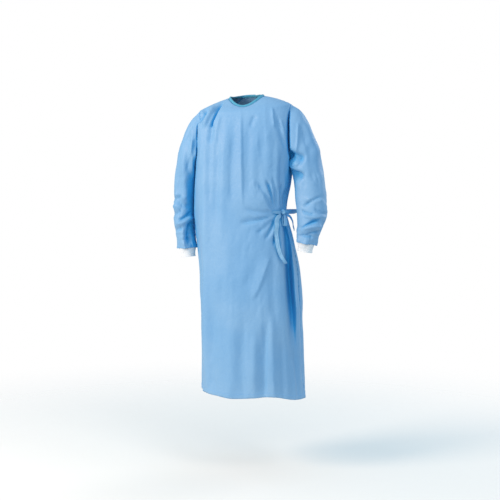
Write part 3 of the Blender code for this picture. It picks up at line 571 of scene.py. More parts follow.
SMALL_SLEEVE = {
    "left": {1: small_sleeve(31, (0.19, 0.33)), -1: small_sleeve(33, (0.19, 0.33))},
    "right": {1: small_sleeve(35, (-0.31, -0.20)), -1: small_sleeve(37, (-0.31, -0.20))},
}
SMALL_SLEEVE_SIDE = {
    "left": small_sleeve(41, (-0.09, 0.07)),
    "right": small_sleeve(43, (-0.07, 0.08)),
}


def settle(points, normals):
    """How far all the folds of the body move its cloth."""
    moved = folds(points, normals, FRONT_FOLDS + SMALL_FRONT)
    moved += folds(points, normals, BACK_FOLDS + SMALL_BACK, side=-1)
    moved += folds(points, normals, LEFT_FOLDS + SMALL_SIDE, VIEW_TURN + math.pi / 2)
    moved += folds(points, normals, RIGHT_FOLDS + SMALL_SIDE, VIEW_TURN - math.pi / 2)
    moved += rolling(points, 51, 12, 0.30, 0.12, 0.0011)
    moved += rolling(points, 53, 16, 0.055, 0.025, 0.00022, sharp=True)
    return moved


def pleat(points):
    """How far the deep pleat moves each point of the body's form, straight away from the camera."""
    across = points[..., 0] * math.cos(VIEW_TURN) + points[..., 1] * math.sin(VIEW_TURN)
    here = {name: read(PLEAT, PLEAT_COLUMNS, name, points[..., 2]) for name in PLEAT_COLUMNS[1:]}
    off = (across - here["across"]) / here["half_width"]
    trough = here["deep"] * np.exp(-(np.abs(off) ** 2.5))
    strip = here["strip"] * np.exp(-(((off - 2.7) / 1.3) ** 2))
    away = (trough - strip) * smooth_step(-points[..., 1] / 0.03)
    return away[..., None] * AWAY


def body(angle, level, out=0.0):
    """Points on the outer face of the gown's body, moved out from it."""
    angle, level = np.broadcast_arrays(np.asarray(angle, float), np.asarray(level, float))
    points = body_form(angle, level)
    normals = outward(body_form, angle, level, 0.5, 0.0005)
    return points + pleat(points) + normals * (settle(points, normals) + out)[..., None]


def body_levels():
    lower = np.linspace(HEM, UNDERARM, LOWER_ROWS + 1)
    middle, half = (UNDERARM + SHOULDER_POINT) / 2, (SHOULDER_POINT - UNDERARM) / 2
    armhole = middle - half * np.cos(np.pi * np.arange(1, ARMHOLE_ROWS) / ARMHOLE_ROWS)
    upper = np.linspace(SHOULDER_POINT, 0.0, SHOULDER_ROWS + 1)
    return np.concatenate([lower, armhole, upper])


def armhole_angle(side, level):
    """How far round from the side the armhole's plane cuts a section, in degrees."""
    if not UNDERARM < level < SHOULDER_POINT:
        return 0.0
    half_width = float(read(TORSO, TORSO_COLUMNS, side, level))
    closing = 1.0 - float(smooth_step((level - UNDERARM) / ARMHOLE_CURVE))
    plane = min(ARMHOLE_X[side], half_width)
    reach = (plane + (half_width - plane) * closing) / half_width
    power = float(read(TORSO, TORSO_COLUMNS, "square", level)) / 2.0
    return math.degrees(math.acos(reach**power))


def spaced(start, end, level, shares):
    """Angles on one row, at the given shares of its length."""
    dense = np.linspace(start, end, DENSE)
    steps = np.linalg.norm(np.diff(body_form(dense, np.full(DENSE, level)), axis=0), axis=1)
    length = np.concatenate([[0.0], np.cumsum(steps)])
    gap = SEAM_GAP / 2
    return np.interp(gap + shares * (length[-1] - 2 * gap), length, dense)


def front_shares(level):
    """Columns of the front panel, closer together at the deep pleat under the knot."""
    dense = np.linspace(0.0, 1.0, DENSE)
    low = PLEAT_DENSITY * smooth_step((PLEAT_TOP - level) / 0.08)
    density = 1.0 + low * np.exp(-(((dense - PLEAT_SHARE) / PLEAT_SPAN) ** 2))
    total = np.concatenate([[0.0], np.cumsum((density[1:] + density[:-1]) / 2)])
    return np.interp(np.linspace(0, 1, FRONT_COLUMNS + 1), total / total[-1], dense)


def outer_layer(angle, level):
    """The outer back panel stands off more and more towards its free edge."""
    edge = read(BACK_EDGES, EDGE_COLUMNS, "outer", level)
    lift = read(BACK_EDGES, EDGE_COLUMNS, "lift", level)
    return lift * smooth_step((angle - edge + LIFT_SPAN) / LIFT_SPAN)


def inner_layer(angle, level):
    """The inner back panel passes under the outer one's free edge."""
    edge = read(BACK_EDGES, EDGE_COLUMNS, "outer", level)
    return -(WALL + LAYER_GAP) * smooth_step((edge + TUCK_AHEAD - angle) / TUCK_SPAN)


def no_layer(angle, level):
    return np.zeros(np.shape(angle))


def back_edge(name):
    return lambda level: float(read(BACK_EDGES, EDGE_COLUMNS, name, level))


def run_lengths(points, axis):
    """Distance along a grid of points from its first row or column."""
    steps = np.linalg.norm(np.diff(points, axis=axis), axis=-1)
    start = np.zeros_like(np.take(steps, [0], axis=axis))
    return np.cumsum(np.concatenate([start, steps], axis=axis), axis=axis)


def seam_dip(distance, along, seed):
    """The valley and small puckers that a row of stitches draws into cloth beside a seam."""
    valley = -0.0006 * np.exp(-((distance / 0.0022) ** 2))
    ridge = 0.0005 * np.exp(-(((distance - 0.0060) / 0.0030) ** 2))
    pucker = np.zeros(np.shape(along))
    chance = np.random.default_rng(seed)
    for _ in range(5):
        pitch = chance.uniform(0.011, 0.034)
        pucker = pucker + np.sin(2 * math.pi * along / pitch + chance.uniform(0, 6.3))
    return valley + ridge + 0.00022 * pucker * np.exp(-((distance / 0.011) ** 2))


def hem_fold(distance, depth):
    """A turned hem: a slightly thicker band along an edge, with the stitching sunk beyond it."""
    band = 0.0007 * smooth_step((depth - distance) / 0.002)
    return band - 0.0009 * np.exp(-(((distance - depth - 0.0005) / 0.0016) ** 2))


def panel(start, end, shares, layer, edges, seed):
    """One panel as (points, flat places), row by row from its hem up.

    Edges says what its first column, last column and first row are: seam, hem or plain.
    """
    levels = body_levels()
    rows = [spaced(start(level), end(level), level, shares(level)) for level in levels]
    angles = np.array(rows)
    level = np.repeat(levels[:, None], angles.shape[1], axis=1)
    points = body_form(angles, level)
    normals = outward(body_form, angles, level, 0.5, 0.0005)
    across, up = run_lengths(points, 1), run_lengths(points, 0)
    moved = settle(points, normals) + layer(angles, level)
    sunk = np.zeros(moved.shape)
    for distance, kind, extra in ((across, edges[0], 1), (across[:, -1:] - across, edges[1], 2)):
        if kind in ("seam", "left", "right"):
            moved += seam_dip(distance, up, seed + extra)
        if kind in ("left", "right"):
            deep = read(ARMHOLE_TUCK, TUCK_COLUMNS, kind, points[..., 2])
            sunk += deep * np.exp(-((distance / 0.0055) ** 2))
        elif kind == "hem":
            moved += hem_fold(distance, SIDE_HEM)
    if edges[2] == "hem":
        moved += hem_fold(up, HEM_DEPTH) + hem_ripple(across, up, seed)
    neck = up[-1:] - up
    moved -= 0.0008 * np.exp(-((neck / 0.003) ** 2))
    flat = np.stack([across + seed * 0.37, up], axis=-1)
    return points + pleat(points) + normals * moved[..., None] + sunk[..., None] * AWAY, flat


def hem_ripple(across, up, seed):
    """Small ripples where stitching holds the turned hem in, fading up the skirt."""
    chance = np.random.default_rng(seed + 71)
    ripple = np.zeros(np.shape(across))
    for _ in range(6):
        pitch = chance.uniform(0.022, 0.080)
        ripple += np.sin(2 * math.pi * across / pitch + chance.uniform(0, 6.3)) * pitch / 0.05
    return 0.00035 * ripple * np.exp(-((up / 0.045) ** 2))


SIDE_HEM = 0.012  # depth of the turned free edges of the back
HEM_DEPTH = 0.019  # depth of the turned hem


def armhole_ring(front_edge, back_edge_points):
    """The armhole as a ring from its top, down in front and up behind."""
    rows = slice(LOWER_ROWS, LOWER_ROWS + ARMHOLE_ROWS + 1)
    front = front_edge[rows][::-1].copy()
    back = back_edge_points[rows].copy()
    front[0] = (front[0] + back[-1]) / 2
    front[-1] = (front[-1] + back[0]) / 2
    return np.concatenate([front, back[1:-1]])


def sleeve_form(side):
    """A sleeve as sections, before it is joined to its armhole."""

    def form(along, turn):
        cut = {n: read(SLEEVES[side], SLEEVE_COLUMNS, n, along) for n in SLEEVE_COLUMNS[1:]}
        share = (1 + np.cos(turn)) / 2
        x = cut["inner_x"] + (cut["outer_x"] - cut["inner_x"]) * share
        z = cut["inner_z"] + (cut["outer_z"] - cut["inner_z"]) * share
        y = cut["mid_y"] - cut["half_depth"] * rounded(np.sin(turn), SLEEVE_SQUARE)
        return np.stack([x, y, z], axis=-1)

    return form


def gathers(turn, along, seed):
    """Uneven gathers where a sleeve is drawn in to its cuff, standing out over it as a frill."""
    chance = np.random.default_rng(seed)
    wave = np.zeros(np.shape(turn))
    for count, high in ((5, 1.0), (8, 1.2), (13, 1.0), (21, 0.8), (31, 0.5)):
        drift = chance.uniform(-1.0, 1.0)
        phase = chance.uniform(0, 6.3)
        wave += high * np.cos(count * turn + phase + drift * (1 - along) * 12.0)
    near = smooth_step((along - 0.90) / 0.10)
    lobes = 0.6 + 0.4 * np.cos(3 * turn + 1.1) + 0.3 * np.cos(5 * turn + seed)
    frill = 0.0085 * lobes * smooth_step((along - 0.930) / 0.070)
    return 0.0008 * wave * near + frill


RING_CROWDING = 0.62  # how much closer a sleeve's rings lie at its two ends


def sleeve(side, ring, seed):
    """A sleeve as (points, flat places), in rings from the armhole to the cuff seam."""
    form = sleeve_form(side)
    sides = len(ring)
    even = np.linspace(0, 1, SLEEVE_RINGS + 1)[:, None]
    along = RING_CROWDING * smooth_step(even) + (1 - RING_CROWDING) * even
    turn = np.linspace(0, 2 * np.pi, sides, endpoint=False)[None, :]
    along, turn = np.broadcast_arrays(along, turn)
    points = form(along, turn)
    fade = 1 - smooth_step(along / SLEEVE_JOIN)
    points = points + (ring - points[0])[None] * fade[..., None]
    front_half = np.arange(sides) <= sides // 2
    deep = read(ARMHOLE_TUCK, TUCK_COLUMNS, side, ring[:, 2]) * front_half
    past = 1.25 * (1 - np.exp(-((run_lengths(points, 0) / 0.0045) ** 2)))
    points = points - (deep[None, :] * fade * past)[..., None] * AWAY
    normals = outward(form, np.clip(along, 0.01, 0.99), turn, 0.01, 0.02)
    if side == "right":
        normals = -normals
    aside = VIEW_TURN + (math.pi / 2 if side == "left" else -math.pi / 2)
    down = run_lengths(points, 0)
    moved = folds(points, normals, SLEEVE_FRONT[side] + SMALL_SLEEVE[side][1])
    moved += folds(points, normals, SLEEVE_BACK[side] + SMALL_SLEEVE[side][-1], side=-1)
    moved += folds(points, normals, SLEEVE_SIDE[side] + SMALL_SLEEVE_SIDE[side], aside)
    moved += rolling(points, seed, 12, 0.16, 0.06, 0.0012)
    moved += rolling(points, seed + 1, 16, 0.060, 0.028, 0.00018, sharp=True)
    moved *= smooth_step(along / 0.02) * smooth_step((1 - along) / 0.03)
    round_it = run_lengths(np.concatenate([points, points[:, :1]], axis=1), 1)
    moved += seam_dip(down, round_it[:, :-1], seed + 2)
    under = np.abs(turn - math.pi) * 0.06
    moved += seam_dip(under, down, seed + 3) * smooth_step(along / 0.05)
    moved += gathers(turn, along, seed + 4)
    points = points + normals * moved[..., None]
    points[0] -= np.array([math.copysign(SEAM_GAP, points[0, 0, 0]), 0, 0])
    flat = np.stack([round_it[12, :-1][None, :] + 0.0 * down, down], axis=-1)
    return points, flat


def cuff(side):
    """A rib-knit cuff as (points, flat places), in rings from inside the sleeve's end."""
    form = sleeve_form(side)
    turn = np.linspace(0, 2 * np.pi, CUFF_SIDES, endpoint=False)
    end = form(np.full(CUFF_SIDES, 1.0), turn)
    middle = end.mean(axis=0)
    way = middle - form(np.full(CUFF_SIDES, 0.9), turn).mean(axis=0)
    way = way / np.linalg.norm(way) + np.array([0.0, 0.0, -1.0])
    way /= np.linalg.norm(way)
    share = np.linspace(0, 1, CUFF_RINGS + 1)
    scale = 0.965 + (CUFF_END_SCALE - 0.965) * smooth_step(share * 1.3)
    scale += 0.016 * smooth_step((share - 0.82) / 0.18)
    level = -0.004 + (CUFF_LENGTH[side] + 0.004) * share
    spokes = end - middle
    points = middle + spokes[None] * scale[:, None, None] + way * level[:, None, None]
    outwards = spokes / np.linalg.norm(spokes, axis=1, keepdims=True)
    rib = np.abs(np.cos(turn * CUFF_RIBS / 2)) ** 0.7
    slack = 0.0006 * np.sin(3 * turn + 1.0) + 0.0005 * np.sin(5 * turn + 4.0)
    hem = 0.0006 * np.exp(-(((share - 0.97) / 0.03) ** 2))
    moved = CUFF_RIB_DEPTH * (rib - 0.6)[None] * (1 - 0.6 * smooth_step((share - 0.9) / 0.1))[:, None]
    moved = moved + slack[None] * np.sin(math.pi * share)[:, None] + hem[:, None]
    points = points + outwards[None] * moved[..., None]
    round_it = np.linspace(0, np.linalg.norm(np.diff(end, axis=0), axis=1).sum(), CUFF_SIDES)
    flat = np.stack(np.broadcast_arrays(round_it[None], level[:, None]), axis=-1)
    return points, flat


CUFF_RIBS = 48
CUFF_RIB_DEPTH = 0.0009


def resampled(line, pitch):
    """Points at an even pitch along a line of points."""
    length = np.concatenate([[0.0], np.cumsum(np.linalg.norm(np.diff(line, axis=0), axis=1))])
    count = max(2, round(length[-1] / pitch) + 1)
    at = np.linspace(0, length[-1], count)
    return np.stack([np.interp(at, length, line[:, k]) for k in range(3)], axis=1), at


def softened(line, times):
    """A line of points with its small kinks smoothed out, its ends kept."""
    for _ in range(times):
        line = line.copy()
        line[1:-1] = (line[:-2] + 2 * line[1:-1] + line[2:]) / 4
    return line


def binding(front, outer, inner):
    """The folded tape round the neckline as (points, flat places): outside, over, inside."""
    below = np.concatenate([part[-3] for part in (inner, front, outer)])
    edge = np.concatenate([part[-1] for part in (inner, front, outer)])
    edge, at = resampled(softened(edge, 6), 0.0016)
    below = resampled(softened(below, 6), 0.0016)[0]
    count = min(len(edge), len(below))
    reach = np.linspace(0, len(below) - 1, len(edge)).round().astype(int)
    below = below[reach]
    up = (edge - below) / np.linalg.norm(edge - below, axis=1, keepdims=True)
    up = up + np.array([0.0, 0.0, BINDING_STAND])
    up /= np.linalg.norm(up, axis=1, keepdims=True)
    up = softened(up, 12)
    way = np.gradient(edge, axis=0)
    out = np.cross(up, way)
    out /= np.linalg.norm(out, axis=1, keepdims=True)
    out *= np.sign((out * (edge - edge.mean(axis=0))).sum(axis=1, keepdims=True))
    rows = []
    profile = [(0.0016, -0.0012), (0.0018, 0.0006), (0.0014, 0.0016), (0.0018, 0.0030)]
    profile += [(0.0019, 0.0050), (0.0017, 0.0068), (0.0012, 0.0082), (0.0004, 0.0090)]
    profile += [(-0.0005, 0.0090), (-0.0013, 0.0082), (-0.0017, 0.0066), (-0.0018, 0.0045)]
    profile += [(-0.0016, 0.0024), (-0.0013, 0.0014), (-0.0016, 0.0004), (-0.0014, -0.0010)]
    chance = np.random.default_rng(61)
    pull = sum(
        np.sin(2 * math.pi * at / pitch + chance.uniform(0, 6.3)) for pitch in (0.009, 0.014, 0.023)
    )
    girth = 0.0
    for k, (aside, high) in enumerate(profile):
        if k:
            last = profile[k - 1]
            girth += math.hypot(aside - last[0], high - last[1])
        puff = 1.0 + 0.10 * pull * (0.4 + high / BINDING_HEIGHT)
        rows.append((edge + out * (aside * puff)[:, None] + up * high, girth))
    points = np.array([row for row, _ in rows])
    flat = np.stack([np.tile(at, (len(rows), 1)), np.repeat([[g] for _, g in rows], len(at), 1)], -1)
    return points, flat


def tie(route, seed):
    """A flat tie as (points, flat places), in rows across its width."""
    marks = np.arange(len(route), dtype=float)
    table = [(mark, *row) for mark, row in zip(marks, route)]
    columns = ("mark",) + TIE_COLUMNS

    def place(mark):
        angle, height, out = (read(table, columns, name, mark) for name in TIE_COLUMNS[:3])
        return body(angle, height, out), outward(body_form, angle, height, 0.5, 0.0005)

    dense = np.linspace(0, marks[-1], 200)
    line = softened(place(dense)[0], 30)
    length = np.append(0, np.cumsum(np.linalg.norm(np.diff(line, axis=0), axis=1)))
    count = max(12, round(length[-1] / TIE_STEP))
    far = np.linspace(0, length[-1], count + 1)
    at = np.interp(far, length, dense)
    middle = np.stack([np.interp(at, dense, line[:, k]) for k in range(3)], axis=1)
    facing = place(at)[1]
    way = np.gradient(middle, axis=0)
    way /= np.linalg.norm(way, axis=1, keepdims=True)
    across = np.cross(way, facing)
    across /= np.linalg.norm(across, axis=1, keepdims=True)
    turn = np.radians(read(table, columns, "turn", at))[:, None]
    across = across * np.cos(turn) + np.cross(way, across) * np.sin(turn)
    face = np.cross(across, way)
    half = read(table, columns, "width", at) / 2
    squeeze = np.clip(1.0 - half / 0.0095, 0.0, 0.5)
    chance = np.random.default_rng(seed)
    sway = sum(np.sin(far * 2 * math.pi / p + chance.uniform(0, 6.3)) for p in (0.021, 0.034, 0.055))
    rows, flats = [], []
    for share in np.linspace(-1, 1, TIE_COLUMNS_ACROSS + 1):
        bend = squeeze * 0.0030 * np.cos(share * 2.2 * math.pi)
        bend = bend + 0.00035 * sway * share + 0.0004 * (1 - share**2)
        rows.append(middle + across * (half * share)[:, None] + face * bend[:, None])
        flats.append(np.stack([far, np.full(len(far), share * 0.0095 + seed * 0.07)], axis=-1))
    return np.array(rows), np.array(flats)


TIE_STEP = 0.0028
TIE_COLUMNS_ACROSS = 12
TIE_SHELL = 0.0010


def line_at(points, axis, distance):
    """The line across a grid of points at a distance from its edge; below zero, the far edge."""
    grid = points if axis == 1 else points.transpose(1, 0, 2)
    if distance < 0:
        grid = grid[:, ::-1]
    length = run_lengths(grid, 1)
    line = []
    for row, run in zip(grid, length):
        line.append([np.interp(abs(distance), run, row[:, k]) for k in range(3)])
    return np.array(line)


def add_object(name, bm, material):
    mesh = bpy.data.meshes.new(name)
    bm.to_mesh(mesh)
    bm.free()
    mesh.shade_smooth()
    mesh.materials.append(material)
    thing = bpy.data.objects.new(name, mesh)
    bpy.context.scene.collection.objects.link(thing)
    return thing


def cloth(name, points, flat, wall, material, tube=False, flip=False, middle=False):
    """A grid laid through rows of points, with its flat places as UVs, and given its wall."""
    if tube:
        step = np.linalg.norm(points[:, -1] - points[:, 0], axis=-1)
        last = flat[:, -1:] + np.stack([step, 0 * step], axis=-1)[:, None]
        points = np.concatenate([points, points[:, :1]], axis=1)
        flat = np.concatenate([flat, last], axis=1)
    rows, columns = points.shape[:2]
    bm = bmesh.new()
    bmesh.ops.create_grid(bm, x_segments=columns - 1, y_segments=rows - 1, size=1.0)
    uv = bm.loops.layers.uv.new("flat")
    places = {}
    for vert in bm.verts:
        column = round((vert.co.x + 1) / 2 * (columns - 1))
        row = round((vert.co.y + 1) / 2 * (rows - 1))
        places[vert] = flat[row, column]
        vert.co = points[row, column]
    for face in bm.faces:
        for loop in face.loops:
            loop[uv].uv = places[loop.vert]
    if tube:
        bmesh.ops.remove_doubles(bm, verts=bm.verts, dist=1e-6)
    if flip:
        bmesh.ops.reverse_faces(bm, faces=bm.faces)
    thing = add_object(name, bm, material)
    solidify = thing.modifiers.new("wall", "SOLIDIFY")
    solidify.thickness = wall
    solidify.offset = 0.0 if middle else -1.0
    return thing


def stitches(name, lines, material, pitch=0.0042, size=0.00045):
    """Rows of short thread stitches lying along lines of points on the cloth."""
    bm = bmesh.new()
    for line in lines:
        spots = resampled(line, pitch)[0]
        ways = np.gradient(spots, axis=0)
        for spot, way in zip(spots[1:-1], ways[1:-1]):
            turn = Vector(way).to_track_quat("Z", "X").to_matrix().to_4x4()
            place = Matrix.Translation(Vector(spot)) @ turn
            bmesh.ops.create_cone(
                bm, cap_ends=True, segments=6, radius1=size, radius2=size * 0.8,
                depth=pitch * 0.66, matrix=place,
            )
    return add_object(name, bm, material)


def wrap(bm, centre, along, out, up, sizes, tilt, width, seed):
    """One turn of a tie round the knot: a crumpled band over its front and behind."""
    sides, across = 40, 10
    bmesh.ops.create_grid(bm, x_segments=sides, y_segments=across, size=1.0)
    chance = np.random.default_rng(seed)
    phase = chance.uniform(0, 6.3, 4)
    new = [vert for vert in bm.verts if not vert.tag]
    for vert in new:
        turn = (vert.co.x + 1) * math.pi
        share = vert.co.y
        pinch = 1.0 - 0.30 * math.sin(turn) ** 2
        rib = 0.0011 * math.cos(share * 7.0 + phase[0]) + 0.0005 * math.sin(3 * turn + phase[1])
        crown = 0.0016 * (1 - share * share)
        far_out = sizes[0] * math.cos(turn) + (rib + crown) * math.cos(turn)
        high = sizes[1] * math.sin(turn) + (rib + crown) * math.sin(turn)
        aside = share * width / 2 * pinch + 0.0012 * math.sin(2 * turn + phase[2])
        lean_aside = aside * math.cos(tilt) - high * math.sin(tilt)
        lean_high = aside * math.sin(tilt) + high * math.cos(tilt)
        vert.co = centre + along * lean_aside + out * far_out + up * lean_high
        vert.tag = True
    return new


def knot(material):
    """The knot where the ties meet: a round of tie drawn tight over a bundle of folds."""
    centre = Vector(body(KNOT_ANGLE, KNOT_LEVEL, KNOT_OUT))
    facing = outward(body_form, np.array(KNOT_ANGLE), np.array(KNOT_LEVEL), 0.5, 0.0005)
    out = Vector((facing[0], facing[1], 0.0)).normalized()
    up = Vector((0.0, 0.0, 1.0))
    along = up.cross(out)
    bm = bmesh.new()
    wrap(bm, centre, along, out, up, (0.0060, 0.0092), 0.30, 0.0125, 81)
    wrap(bm, centre + up * 0.001, along, out, up, (0.0046, 0.0078), -0.55, 0.0215, 83)
    wrap(bm, centre - along * 0.001, along, out, up, (0.0036, 0.0060), 1.15, 0.0170, 85)
    bmesh.ops.remove_doubles(bm, verts=bm.verts, dist=1e-6)
    thing = add_object("knot_wraps", bm, material)
    solidify = thing.modifiers.new("wall", "SOLIDIFY")
    solidify.thickness = TIE_SHELL
    solidify.offset = 0.0
    smooth = thing.modifiers.new("soft", "SUBSURF")
    smooth.levels = smooth.render_levels = 1
    return thing


class Nodes:
    """Adds nodes to a tree, and links them, in one line each."""

    def __init__(self, tree):
        self.tree = tree

    def add(self, kind, settings=None, **inputs):
        node = self.tree.nodes.new("ShaderNode" + kind)
        for name, value in (settings or {}).items():
            setattr(node, name, value)
        for name, value in inputs.items():
            self.put(node, name.replace("_", " "), value)
        return node

    def put(self, node, name, value):
        socket = node.inputs[int(name)] if name.isdigit() else node.inputs[name]
        if isinstance(value, bpy.types.NodeSocket):
            self.tree.links.new(value, socket)
        else:
            socket.default_value = value

    def math(self, operation, first, second=0.0, third=None):
        node = self.add("Math", {"operation": operation})
        values = (first, second) if third is None else (first, second, third)
        for socket, value in zip(node.inputs, values):
            if isinstance(value, bpy.types.NodeSocket):
                self.tree.links.new(value, socket)
            else:
                socket.default_value = value
        return node.outputs[0]

    def vector(self, operation, first, second=None, scale=None):
        node = self.add("VectorMath", {"operation": operation})
        self.put(node, "0", first)
        if second is not None:
            self.put(node, "1", second)
        if scale is not None:
            self.put(node, "Scale", scale)
        return node.outputs["Value" if operation == "LENGTH" else "Vector"]

    def ramp(self, value, low, high, to_low=0.0, to_high=1.0):
        node = self.add("MapRange", {"interpolation_type": "SMOOTHSTEP"}, Value=value)
        for name, number in (("From Min", low), ("From Max", high), ("To Min", to_low), ("To Max", to_high)):
            node.inputs[name].default_value = number
        return node.outputs["Result"]

    def mix(self, factor, first, second, blend="MIX"):
        node = self.add("Mix", {"data_type": "RGBA", "blend_type": blend})
        self.put(node, "Factor", factor)
        for socket, value in ((node.inputs[6], first), (node.inputs[7], second)):
            if isinstance(value, bpy.types.NodeSocket):
                self.tree.links.new(value, socket)
            else:
                socket.default_value = value
        return node.outputs[2]

    def noise(self, place, scale, detail=3.0, roughness=0.5):
        node = self.add("TexNoise", Vector=place, Scale=scale, Detail=detail, Roughness=roughness)
        return node.outputs["Fac"]


def group(name, inputs, outputs):
    """A node group with named inputs and outputs: (tree, its nodes, input and output nodes)."""
    tree = bpy.data.node_groups.new(name, "ShaderNodeTree")
    for label, kind in inputs:
        tree.interface.new_socket(name=label, in_out="INPUT", socket_type="NodeSocket" + kind)
    for label, kind in outputs:
        tree.interface.new_socket(name=label, in_out="OUTPUT", socket_type="NodeSocket" + kind)
    nodes = Nodes(tree)
    return tree, nodes, tree.nodes.new("NodeGroupInput"), tree.nodes.new("NodeGroupOutput")


def bond_points_group():
    """The small pressed spots that hold the layers of a nonwoven together, in a diamond grid."""
    tree, nodes, given, result = group(
        "bond_points", [("Place", "Vector"), ("Spots per metre", "Float")], [("Spots", "Float")]
    )
    turned = nodes.add("VectorRotate", {"rotation_type": "Z_AXIS"}, Angle=math.pi / 4)
    nodes.put(turned, "Vector", given.outputs["Place"])
    scaled = nodes.vector("SCALE", turned.outputs[0], scale=given.outputs["Spots per metre"])
    cell = nodes.vector("SUBTRACT", nodes.vector("FRACTION", scaled), (0.5, 0.5, 0.0))
    away = nodes.vector("LENGTH", nodes.vector("MULTIPLY", cell, (1.0, 1.5, 0.0)))
    nodes.put(result, "Spots", nodes.ramp(away, 0.16, 0.34, 1.0, 0.0))
    return tree


def fibres_group():
    """Fine fibres lying across one another, and the cloudy thick and thin places between them."""
    tree, nodes, given, result = group(
        "laid_fibres", [("Place", "Vector")], [("Fibres", "Float"), ("Clouds", "Float")]
    )
    place = given.outputs["Place"]
    fine = []
    for angle, stretch in ((0.35, 5.0), (1.25, 4.0), (2.4, 4.5)):
        turned = nodes.add("VectorRotate", {"rotation_type": "Z_AXIS"}, Angle=angle, Vector=place)
        long = nodes.vector("MULTIPLY", turned.outputs[0], (1.0, stretch, 1.0))
        fine.append(nodes.noise(long, 900.0, 2.0, 0.6))
    total = nodes.math("ADD", nodes.math("ADD", fine[0], fine[1]), fine[2])
    nodes.put(result, "Fibres", nodes.ramp(total, 1.15, 1.9))
    nodes.put(result, "Clouds", nodes.ramp(nodes.noise(place, 130.0, 4.0, 0.6), 0.35, 0.68))
    return tree


def handling_group():
    """Faint crumpled creases left by folding and handling, where thin cloth catches the light."""
    tree, nodes, given, result = group(
        "handling", [("Place", "Vector"), ("Scale", "Float")], [("Creases", "Float")]
    )
    bent = nodes.add("TexNoise", Vector=given.outputs["Place"], Scale=18.0, Detail=2.0)
    moved = nodes.vector("SCALE", bent.outputs["Color"], scale=0.03)
    place = nodes.vector("ADD", given.outputs["Place"], moved)
    cells = nodes.add("TexVoronoi", {"feature": "DISTANCE_TO_EDGE"}, Vector=place)
    nodes.put(cells, "Scale", given.outputs["Scale"])
    soft = nodes.ramp(cells.outputs["Distance"], 0.0, 0.22)
    broad = nodes.noise(place, 34.0, 3.0, 0.55)
    nodes.put(result, "Creases", nodes.math("ADD", nodes.math("MULTIPLY", soft, 0.5), broad))
    return tree


BOND_POINTS = bond_points_group()
FIBRES = fibres_group()
HANDLING = handling_group()


def new_material(name):
    material = bpy.data.materials.new(name)
    material.use_nodes = True
    nodes = Nodes(material.node_tree)
    return material, nodes, material.node_tree.nodes["Principled BSDF"]


def placed(nodes, tree, **inputs):
    node = nodes.add("Group", {"node_tree": tree})
    for name, value in inputs.items():
        nodes.put(node, name.replace("_", " "), value)
    return node.outputs


def nonwoven(name, deep, middle, pale, roughness, sheen, spots=620.0, crumple=0.0011):
    """Pressed nonwoven cloth: bonded spots, laid fibres, cloudy tone, a soft sheen and painted shade in its
    folds.
    """
    material, nodes, shader = new_material(name)
    flat = nodes.add("UVMap", {"uv_map": "flat"}).outputs["UV"]
    here = nodes.add("TexCoord").outputs["Object"]
    bonds = placed(nodes, BOND_POINTS, Place=flat, Spots_per_metre=spots)["Spots"]
    fibres = placed(nodes, FIBRES, Place=flat)
    creases = placed(nodes, HANDLING, Place=here, Scale=26.0)["Creases"]
    broad = nodes.ramp(nodes.noise(here, 5.0, 2.0, 0.5), 0.3, 0.7)
    tone = nodes.mix(broad, middle, pale)
    thin = nodes.math("MULTIPLY", fibres["Clouds"], 0.16)
    tone = nodes.mix(thin, tone, deep)
    tone = nodes.mix(nodes.math("MULTIPLY", fibres["Fibres"], 0.14), tone, pale)
    tone = nodes.mix(nodes.math("MULTIPLY", bonds, 0.35), tone, deep)
    # Painted shade: an ambient-occlusion mask turns the colour to a deep saturated blue in folds, creases
    # and hollows, where shade falls; the same mask also roughens the cloth there.
    open_air = nodes.add("AmbientOcclusion", {"samples": 8}, Distance=0.07).outputs["AO"]
    painted_fold_shade = nodes.ramp(open_air, 0.30, 0.94, 1.0, 0.0)
    tone = nodes.mix(painted_fold_shade, tone, (0.0, 0.33, 0.66, 1.0))
    nodes.put(shader, "Base Color", tone)
    rough = nodes.math("MULTIPLY_ADD", bonds, -0.14, roughness)
    rough = nodes.math("MULTIPLY_ADD", fibres["Clouds"], 0.08, rough)
    rough = nodes.math("MULTIPLY_ADD", painted_fold_shade, 0.3, rough)
    nodes.put(shader, "Roughness", rough)
    height = nodes.math("MULTIPLY", fibres["Fibres"], 0.35)
    height = nodes.math("MULTIPLY_ADD", bonds, -1.0, height)
    fine = nodes.add("Bump", Strength=0.5, Distance=0.00005, Height=height)
    large = nodes.add("Bump", Strength=0.4, Distance=crumple, Height=creases)
    nodes.put(large, "Normal", fine.outputs["Normal"])
    nodes.put(shader, "Normal", large.outputs["Normal"])
    shader.inputs["Sheen Weight"].default_value = sheen
    shader.inputs["Sheen Roughness"].default_value = 0.85
    shader.inputs["Sheen Tint"].default_value = (1.0, 0.82, 0.62, 1.0)
    shader.inputs["Specular IOR Level"].default_value = 0.5
    shader.inputs["Specular Tint"].default_value = (1.0, 0.72, 0.48, 1.0)
    return material


